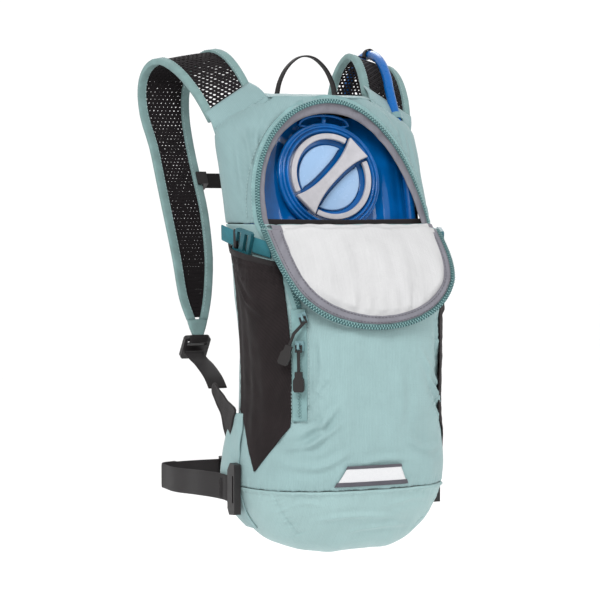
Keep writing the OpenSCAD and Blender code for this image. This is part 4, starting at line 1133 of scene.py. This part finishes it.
SIDES = (("left", False), ("right", True))
for side, flip in SIDES:
    finish_piece(lattice("strap_mesh_" + side, flip), "airmesh", "pack", ["strap_pad_" + side])
    v = np.linspace(1.0, strap_s[-1] - 0.5, 110)
    pieces = [strap_ribbon(lambda v, k=k: k * (strap_half(v) - BINDING_W / 2 + 0.2), v, BINDING_W - 0.4, 6.4, 5, flip)
              for k in (-1, 1)]
    tip = flipped([(-94, 101, 7), (-94, 100.6, 3), (-94, 100.2, -2), (-94, 99.6, -7), (-94, 98.8, -11)], flip)
    pieces.append(ribbon("tip", tip, across(5, (1, 0, 0)), [22, 20, 17, 13, 10], 5.6, 5))
    pieces.append(strap_ribbon(lambda v: 0 * v, np.linspace(0, 7.5, 8), 59, 6.8, 8, flip, 0.2))
    edge = joined("strap_edge_" + side, pieces)
    finish_piece(edge, "binding", "pack", ["strap_binding_" + side])
    rows = []
    v = np.linspace(4, strap_s[-1] - 4, 150)
    for k in (-1, 1):
        for lift in (3.15, -3.15):
            line = on_strap(k * (strap_half(v) - BINDING_W + 1.6), v, lift)
            out = on_strap(0, v, math.copysign(1, lift)) - on_strap(0, v, 0)
            rows.append(stitches("row", flipped(line, flip), flipped(out, flip), 2.6))
    finish_piece(joined("strap_thread_" + side, rows), "thread", "pack", ())

# the yoke's cloth runs on over the strap's sewn end
YOKE_EDGE = [(-107.5, 25, 189), (-97, 19, 197), (-81, 15, 207), (-64, 11, 217.5), (-56, 11, 223.5)]
for side, flip in SIDES:
    low = spline(YOKE_EDGE, 40)
    high = on_strap(np.linspace(29.6, -29.6, 40), 9.0, 4.0)
    t = np.linspace(0, 1, 12)[:, None, None]
    p = lerp(low, high, t) + np.sin(math.pi * t) * np.array([0, -1.4, 1.8])
    p = p + (0.35 * ripple(p[..., 0], p[..., 2], 14, 95))[..., None] * [0, -1, 0.5]
    p = mirrored(p)[:, ::-1] if flip else p
    finish_piece(thicken(sheet_mesh("yoke_tab_" + side, p), 1.6), "yoke", "pack", ())
    st = stitches("yoke_thread_" + side, p[2] + [0, -0.3, 0.2], across(40, (0, -0.8, 0.6)))
    finish_piece(st, "thread", "pack", ())

TUBE_INSIDE = [(38, -24, -178), (58, -27, -175), (76, -28, -155), (84, -26, -118), (86, -24, -60), (86, -23, 10),
               (87, -18, 80), (88, -6, 140), (88, 6, 178), (88.5, 20, 208)]
lift = STRAP_T / 2 + TUBE_D / 2 + 0.6
along_strap = [mirrored(strap_path[i] + (lift + 2.2 * max(0, i - 21)) * strap_nrm[i]) for i in range(2, 26)]
tube_route = np.concatenate([catmull(TUBE_INSIDE, 3), along_strap])
hose = tube_mesh("drinking_hose", spline(tube_route, 260), TUBE_D / 2, 20)
finish_piece(hose, "tube", "pack", ["drink_tube"])

# elastic loops that hold the tube to its strap
loops = []
arc_a = np.radians(np.linspace(-40, 220, 30))
reach = TUBE_D / 2 + 1.1
over_tube = [(-reach * math.cos(a), lift + reach * math.sin(a)) for a in arc_a]
section = np.array([(-13, 3.9), (-9, 4.1), (-6.6, 5)] + over_tube + [(6.6, 5), (9, 4.1), (13, 3.9)])
for k in (9, 21):
    q = mirrored(on_strap(section[:, 0], strap_s[k], section[:, 1]))
    loops.append(ribbon("loop", q, across(len(q), mirrored(strap_tg[k])), 9, 1.3, 4))
finish_piece(joined("tube_loops", loops), "black_tape", "pack", ["tube_keepers"])

# ---- Webbing, wings, haul loop and belt ------------------------------------------------------
WEB_LOW = [(-94, 110.4, -25.8), (-94, 106, -29), (-94, 97, -33), (-95, 80, -38), (-96, 58, -48), (-97, 44, -58)]
WEB_TOP = [(-94, 97, -8.8), (-94, 95.7, -12), (-94, 98, -15.8), (-94, 102.5, -16.6)]
webs = []
for flip in (False, True):
    for name, pts, count in (("low", WEB_LOW, 50), ("top", WEB_TOP, 16)):
        webs.append(ribbon("web", flipped(spline(pts, count), flip), across(count, (1, 0, 0)), 20, 1.6))
finish_piece(joined("strap_lower_webs", webs), "black_web", "pack", ["strap_webs"])

wings = []
for side, flip in SIDES:
    outline = np.array([(2, -118), (-3, -100), (-8, -84), (-14, -74), (4, -68), (24, -58), (36, -52), (41, -60),
                        (36, -68), (22, -80), (12, -98)], float)
    centre = outline.mean(0)
    rows = np.linspace(0.02, 1, 16)[:, None, None]
    loop = spline(outline, 72, True)[:-1]
    grid2 = centre + rows * (loop[None] - centre)
    xw = -104.2 + 0.5 * ripple(grid2[..., 0], grid2[..., 1], 16, 101) + 0.9 * (1 - rows[..., 0] ** 4)
    p = flipped(np.concatenate([xw[..., None], grid2], -1), flip)
    wings.append(thicken(sheet_mesh("wing", p, True, grid2), 1.6, 0))
finish_piece(joined("strap_wing_cloths", wings), "black_tape", "pack", ["strap_wings"])

# teal gussets run from the wings down the pack's back edges to the belt
for side, flip in SIDES:
    z = np.linspace(-78, -188, 70)
    t = np.linspace(0, 1, 14)[:, None]
    zz, tt = np.broadcast_to(z, (14, 70)).T, np.broadcast_to(t.T, (70, 14))
    reach = np.interp(zz, [-188, -176, -160, -130, -100, -86, -78], [8, 16, 24, 25, 17, 9, 3])
    x0 = half_w(zz) + 0.6
    p = np.stack([-(x0 + 2.2 * tt + 1.1 * np.sin(tt * 3) + 0.5 * ripple(tt * 30, zz, 22, 103)),
                  back_y(zz) - 14 + (reach + 12) * tt, zz], -1)
    p = mirrored(p)[:, ::-1] if flip else p
    gusset = thicken(sheet_mesh("gusset_" + side, p[:, ::-1]), 1.2, 0)
    finish_piece(gusset, "front", "pack", ())

haul = [(-32, 44.4, 231), (-29, 44.4, 243), (-22, 44.4, 256), (-11, 44.4, 266), (0, 44.4, 269), (11, 44.4, 266),
        (22, 44.4, 256), (29, 44.4, 243), (32, 44.4, 231)]
hp = spline(haul, 70)
hw = np.interp(np.linspace(-1, 1, 70), [-1, -0.4, 0, 0.4, 1], [10, 8.5, 7.5, 8.5, 10])
finish_piece(ribbon("haul_webbing", hp, across(70, (0, 1, 0)), hw, 1.7),
             "black_web", "haul", ["haul_loop"])

BELT = ([(-111, -12, -150), (-112, 20, -151), (-112, 70, -153), (-110, 120, -155), (-105, 166, -157)]
        + [(-93 - 12 * math.cos(math.radians(a)), 166 + 12 * math.sin(math.radians(a)), -157)
           for a in range(15, 90, 15)]
        + [(-93, 178, -157), (-64, 182, -157), (-34, 182, -157)])
for side, flip in SIDES:
    route = spline(BELT, 120)
    s = np.linspace(0, 1, 120)
    path = route + grid_of(0.6 * np.sin(s * 21) * (s < 0.75), 0, 0.9 * np.sin(s * 9))
    # both ends run straight into the toggle and the buckle
    path[:4], path[-24:] = route[:4], route[-24:]
    web = ribbon("belt_" + side, flipped(path, flip), across(120, (0, 0, 1)), 25, 1.7)
    finish_piece(web, "black_web", "pack", ["belt_web_" + side])
    k = -1 if flip else 1
    rows = []
    for y in (2, 5.2):
        zigzag = y + 1.1 * np.sign(np.sin(np.linspace(0, 46, 30)))
        zig = grid_of(-112.3 * k, zigzag, np.linspace(-161, -141, 30))
        rows.append(stitches("row", zig, across(30, (-k, 0, 0)), 2.0, 0.4, 0.6, 0.5))
    finish_piece(joined("belt_tack_" + side, rows), "black_thread", "pack", ())

# ---- Side compression straps -----------------------------------------------------------------
def side_web_line(a0, a1, n, off):
    a = np.linspace(a0, a1, n)
    return skin(a, lerp(76, 95, (a - 136) / 44), off)


side_bits, locks = [], []
for flip in (False, True):
    up = flipped(unit([0.02, 0.1, 1.0]), flip)
    for a0, a1, off in ((179.6, 167, 6), (154.5, 142, 3.6)):
        web = flipped(side_web_line(a0, a1, 24, off), flip)
        side_bits.append(ribbon("web", web, across(24, up), 15, 1.6))
    lock = flipped(side_web_line(166.4, 164.6, 6, 7.4), flip)
    locks.append(ribbon("lock", lock, across(6, up), 18.5, 3.4, 4))
finish_piece(joined("side_strap_webs", side_bits), "teal_web", "pack", ["side_webs"])
finish_piece(joined("side_locks", locks), "black", "pack", ())

# ---- Sternum strap ---------------------------------------------------------------------------
for side, flip in SIDES:
    pts = flipped([(-73.7, 126, 146), (-62, 129, 146), (-42, 130, 146), (-21.3, 130, 146)], flip)
    web = ribbon("sternum_web_piece_" + side, spline(pts, 40), across(40, (0, 0, 1)), 15, 1.6)
    finish_piece(web, "black_web", "sternum_strap", ["sternum_web_" + side])

# ---- Flap ------------------------------------------------------------------------------------
FLAP_W, FLAP_LEN, FLAP_TOP = 96.0, 95.0, 98.0


def flap_y(x, z):
    return front_y(0 * z, z) - 4 + lerp(9, 24, np.maximum(0, (z - 50) / 48)) * (x / 92) ** 2


def flap_half(z, inset):
    t = np.clip((FLAP_TOP - z) / FLAP_LEN, 0, 1)
    return (FLAP_W - inset) * np.sqrt(np.maximum(0, 1 - t**3))


def on_flap(x, z, lift=0.0):
    x, z = np.broadcast_arrays(np.asarray(x, float), np.asarray(z, float))
    return np.stack([x, flap_y(x, np.minimum(z, FLAP_TOP)) - lift, z], -1)


phi = np.linspace(0, math.pi, 160)
t = np.sin(phi)
flap_edge = spline(np.stack([-FLAP_W * np.cos(phi) * np.sqrt((1 + t + t**2) / (1 + t)),
                             FLAP_TOP - 0.985 * FLAP_LEN * t], -1), 300)
edge_t = tangents(flap_edge)
edge_in = np.stack([-edge_t[:, 1], edge_t[:, 0]], -1)


def edge_spread(s):
    """The binding is widest by the fold."""
    return np.interp(s, [0, 0.25, 0.5, 0.8, 1], [1.6, 1.3, 0.95, 0.9, 1.2])


def flap_band(insets, lifts, wave=0.0, seed=0):
    """A strip of the flap that follows its edge: rows are distances in from the edge."""
    rows = []
    s = np.linspace(0, 1, 300)
    spread = edge_spread(s)
    for d, h in zip(insets, lifts):
        d = d if d < 5.5 else 5.5 + (d - 5.5) * spread[:, None]
        q = flap_edge + edge_in * d
        rows.append(on_flap(q[:, 0], q[:, 1], h + wave * ripple(s * 260, h + s * 0, 14, seed)))
    return np.array(rows)


curl = np.interp(np.linspace(0, 1, 300), [0, 0.58, 0.72, 0.86, 0.97, 1], [0, 0, 4, 9, 7, 3])


def curled(rows, weights):
    """The right edge of the flap lifts forward a little, each row by its own weight."""
    lift = np.stack([-0.6 * curl, -curl, 0 * curl], -1)
    return rows + np.reshape(weights, (-1, 1, 1)) * lift


shell_rows = curled(flap_band([0.4, 3, 7, 14], [1.4, 1.8, 1.2, 0.9]), (1, 0.8, 0.3, 0.0))
x_in = np.linspace(-1, 1, 120)[None, :]
zz = np.linspace(7, 98, 80)[::-1][:, None]
core = on_flap(x_in * flap_half(zz, 1.5), zz, 0.9 + 0.25 * ripple(x_in * 90, zz, 30, 111))
flap_parts = [thicken(sheet_mesh("core", core), 1.0), thicken(sheet_mesh("edge", shell_rows), 0.9)]
finish_piece(joined("flap_cloth", flap_parts), "front", "flap", ["flap_shell"])

# lining: gathered cloth that stands loose inside its margin
down = np.linspace(0, 1, 90)[:, None]
ul = np.linspace(-1, 1, 130)[None, :]
z_top_line = 100.0 + 0.9 * np.sin(ul * 9 + 1) + 0.7 * np.sin(ul * 17)
zz = z_top_line + (12.5 - z_top_line) * np.sin(math.pi / 2 * down) ** 0.9
xx = ul * np.interp(zz, [12.5, 14, 18, 24, 34, 50, 70, 90, 104], [20, 33, 48, 60, 72, 80.5, 84.5, 85, 84])
waves = (1.5 * ripple(xx, zz * 0.22, 24, 112) + 0.9 * ripple(xx, zz, 36, 113)) * (1 - np.abs(ul) ** 8)
waves = waves * np.interp(zz, [12.5, 26, 84, 97], [0.05, 1, 1, 0.15])
right = np.interp(xx, [30, 60, 86], [0, 0.6, 4.2]) * np.interp(zz, [20, 45, 90], [0.2, 1, 0.9])
tucks = 1.3 * np.sin(xx * 0.42 + 0.8) * np.interp(zz, [13, 21, 30, 48], [0, 0.8, 0.7, 0])
belly = 1.6 * np.interp(zz, [12, 40, 80, 102], [0, 1, 1, 0.2]) * (1 - ul**2)
inset, along = on_line(np.stack([xx, zz], -1), flap_edge)
margin = np.clip((inset - 4.5 - 7.7 * edge_spread(along / along.max())) / 8, 0, 1)
loft = 2.7 + (1.6 + waves + tucks + belly) * margin**2 * (3 - 2 * margin) + right
lining = on_flap(xx, zz, np.maximum(loft, 2.7))
lining[..., 1] += 2.5 * np.clip((zz - 97) / 5, 0, 1) ** 2
lining_obj = thicken(sheet_mesh("flap_lining_cloth", lining[::-1]), 0.9)
finish_piece(lining_obj, "lining", "flap", ["flap_lining"])

binding = flap_band([5.0, 5.6, 7.5, 10, 12.4, 13.2], [3.0, 4.0, 4.5, 4.4, 3.9, 2.6], wave=0.25, seed=114)
binding = curled(binding, (0.85, 0.85, 0.75, 0.6, 0.45, 0.4))
finish_piece(thicken(sheet_mesh("flap_binding", binding), 0.8), "grey", "flap", ())
for inset, lift, w in ((6.6, 5.0, 0.8), (11.6, 4.8, 0.5)):
    row = curled(flap_band([inset], [lift]), w)[0]
    st = stitches("flap_thread_%d" % int(inset), row, across(300, (0, -1, 0)))
    finish_piece(st, "grey_thread", "flap", ())
tape_rows = curled(flap_band([0.2, 0.9, 3.2, 5.4], [2.2, 2.9, 3.1, 3.0]), (1, 1, 0.9, 0.85))
finish_piece(thicken(sheet_mesh("flap_tape", tape_rows), 0.7), "zip_tape", "flap", ())
coil_line = curled(flap_band([2.0], [4.0]), 0.95)[0]
# painted shade: a dark strip under the coil stands for the shade between and under its teeth
coil_shade_rows = curled(flap_band([-0.3, 0.2, 2.0, 3.8, 4.3], [2.6, 3.5, 3.6, 3.5, 2.8]), 0.95)
finish_piece(thicken(sheet_mesh("flap_zip_painted_shade", coil_shade_rows), 0.5), "zip_bed", "flap", ())
finish_piece(coil("flap_coil", coil_line, across(300, (0, -1, 0))), "coil", "flap", ["flap_zip"])

# the fold: cloth rolls from inside the pack over the front panel's edge and down onto the flap
for name, x0, x1, mat in (("fold_roll", -78.5, 81, "lining"), ("fold_trim_left", -86.5, -78, "grey"),
                          ("fold_trim_right", 80.5, 86.5, "grey")):
    xr = np.linspace(x0, x1, max(12, int((x1 - x0) * 0.7)))
    count = len(xr)
    crest = 102.2 + 0.4 * np.sin(xr * 0.1) + 0.3 * np.sin(xr * 0.33)
    path = np.array([grid_of(xr, front_y(xr, 92.0) + 5.5, 92.0), grid_of(xr, front_y(xr, 101.0) + 3.0, 99.5),
                     grid_of(xr, flap_y(xr, FLAP_TOP) + 1.5, crest), on_flap(xr, 100.0, 1.6),
                     on_flap(xr, 95.0, 2.4)])
    grid = np.stack([spline(path[:, i], 18) for i in range(count)], 1)
    roll = thicken(sheet_mesh(name, grid[::-1]), 0.9, 0)
    roll.modifiers["thickness"].material_offset = 1
    finish_piece(roll, [mat, "front"], None, ())
    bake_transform(roll)

# ---- Zips ------------------------------------------------------------------------------------
tz = np.linspace(0.1, 0.98, 30)
left_x, left_z = lerp(-70, -90, tz), lerp(16, 104, tz)
sa = np.linspace(1.5, 178.5, 200)
ax_, az_ = arch(sa)
tr = np.linspace(0.05, 1, 14)
right_x, right_z = lerp(90, 78, tr), lerp(104, 62, tr)
zx = np.concatenate([left_x, ax_, right_x])
zz_ = np.concatenate([left_z, np.minimum(az_, Z_TOP - 2.5), right_z])
zn = surface_normals(zx, zz_)
zip_line = on_front(zx, zz_)
outer_line = zip_line - np.cross(tangents(zip_line), zn) * 2.2
finish_piece(tape_on("main_zip_tape", outer_line, zn, 8.5, 0.7, 0.2), "zip_tape", "pack", ())
# painted shade: a dark strip under the coil stands for the shade between and under its teeth
finish_piece(tape_on("main_zip_painted_shade", zip_line, zn, 4.6, 0.8, 0.7), "zip_bed", "pack", ())
finish_piece(coil("main_zip_coil", zip_line + zn * 1.7, zn), "coil", "pack", ["main_zip"])
for out in (5.2, 8.6):
    bx, bz = arch(np.linspace(2, 178, 220), out)
    bz = np.minimum(bz, Z_TOP - 0.4)
    line = on_front(bx, bz, 0.9 if out < 6 else 0.2)
    st = stitches("arch_thread_%d" % int(out), line, surface_normals(bx, bz), 2.6, 1.1)
    finish_piece(st, "thread", "pack", ())

# grey binding turned in along the opening's edge
sb = np.linspace(-3, 183, 220)
ax_, az_ = arch(np.clip(sb, 0, 180))
ix, iz = arch(np.clip(sb, 0, 180), -1)
reach = 7.5 + 4 * np.clip(np.sin(np.radians(sb)), 0, 1) ** 6
inward = unit(np.stack([ix - ax_, iz - az_], -1)) * reach[:, None]
bind_rows = []
for t in (0, 0.12, 0.4, 0.75, 1.0):
    bx, bz = ax_ + inward[:, 0] * t, np.minimum(az_, Z_TOP - 1.5) + inward[:, 1] * t
    bz = np.where((sb < 0) | (sb > 180), bz - 8, bz)
    depth_in = 0.3 + 5.5 * t**0.8 + 0.5 * ripple(sb * 2.2, t * 8 + sb * 0, 16, 121)
    bind_rows.append(on_front(np.clip(bx, -104, 104), bz) + grid_of(0, depth_in, 0))
opening_binding = thicken(sheet_mesh("opening_binding", np.array(bind_rows)), 0.9, 0)
finish_piece(opening_binding, "grey", "pack", ())

STASH_X = -73.0
sz, cz = np.linspace(-81, 24, 50), np.linspace(-80, -15.5, 40)
tape_obj = tape_on("stash_tape", on_front(STASH_X, sz), surface_normals(STASH_X, sz), 14.5, 0.7, 0.05)
finish_piece(tape_obj, "zip_tape", "pack", ())
cn = surface_normals(STASH_X, cz)
stash_coil = coil("stash_coil", on_front(STASH_X, cz) + cn * 1.5, cn, 3.4, 2.9, 1.1)
finish_piece(stash_coil, "coil", "pack", ["stash_zip"])
for i, x in enumerate((STASH_X - 6.2, STASH_X + 6.2)):
    st = stitches("stash_thread_%d" % i, on_front(x, sz, 0.9), surface_normals(x, sz), 2.4, 1.1)
    finish_piece(st, "thread", "pack", ())

# ---- Label -----------------------------------------------------------------------------------
tl = np.linspace(0, 1, 12)[:, None]
ul = np.linspace(0, 1, 50)[None, :]
lx = lerp(lerp(-41, -31, tl), lerp(34, 25, tl), ul)
lz = np.broadcast_to(lerp(-143, -125, tl), lx.shape)
label = on_front(lx, lz, 1.0)
patch = thicken(sheet_mesh("reflective_patch", label), 0.6)
finish_piece(patch, "reflective", "pack", ["reflective_label"])
strips = []
for z0, z1, grow in ((-143.6, -139.4, 1.4), (-126.6, -123.8, 1.2)):
    t2 = np.linspace(z0, z1, 5)[:, None]
    f = (t2 + 143) / 18
    x2 = lerp(lerp(-41 - grow, -31 - grow, f), lerp(34 + grow, 25 + grow, f), ul)
    strips.append(thicken(sheet_mesh("strip", on_front(x2, np.broadcast_to(t2, x2.shape), 1.35)), 0.5))
finish_piece(joined("label_border", strips), "grey_thread", "pack", ())

# ---- Hard parts carried over from the CAD ----------------------------------------------------
KEPT = {
    "black": ("valve_body", "strap_buckle_left", "strap_buckle_right", "sternum_rail_left", "sternum_rail_right",
              "sternum_buckle_male", "sternum_buckle_female", "belt_toggles", "belt_buckle_male",
              "belt_buckle_female"),
    "tube": ("tube_elbow", "valve_lever"), "slider": ("tube_port", "main_slider_left", "stash_slider"),
    "rubber": ("main_pull_left", "stash_pull"), "teal_buckle": ("side_buckle_left", "side_buckle_right"),
    "silicone": ("mouthpiece",), "deep": ("reservoir_neck",)}
for node, mat in ((node, mat) for mat, nodes in KEPT.items() for node in nodes):
    obj = bpy.data.objects[node]
    for slot_ in obj.material_slots:
        slot_.material = M[mat]
    if not obj.material_slots:
        obj.data.materials.append(M[mat])
    edge = obj.modifiers.new("edge", "BEVEL")
    edge.width, edge.segments, edge.limit_method, edge.angle_limit = 0.35 * MM, 2, "ANGLE", math.radians(40)
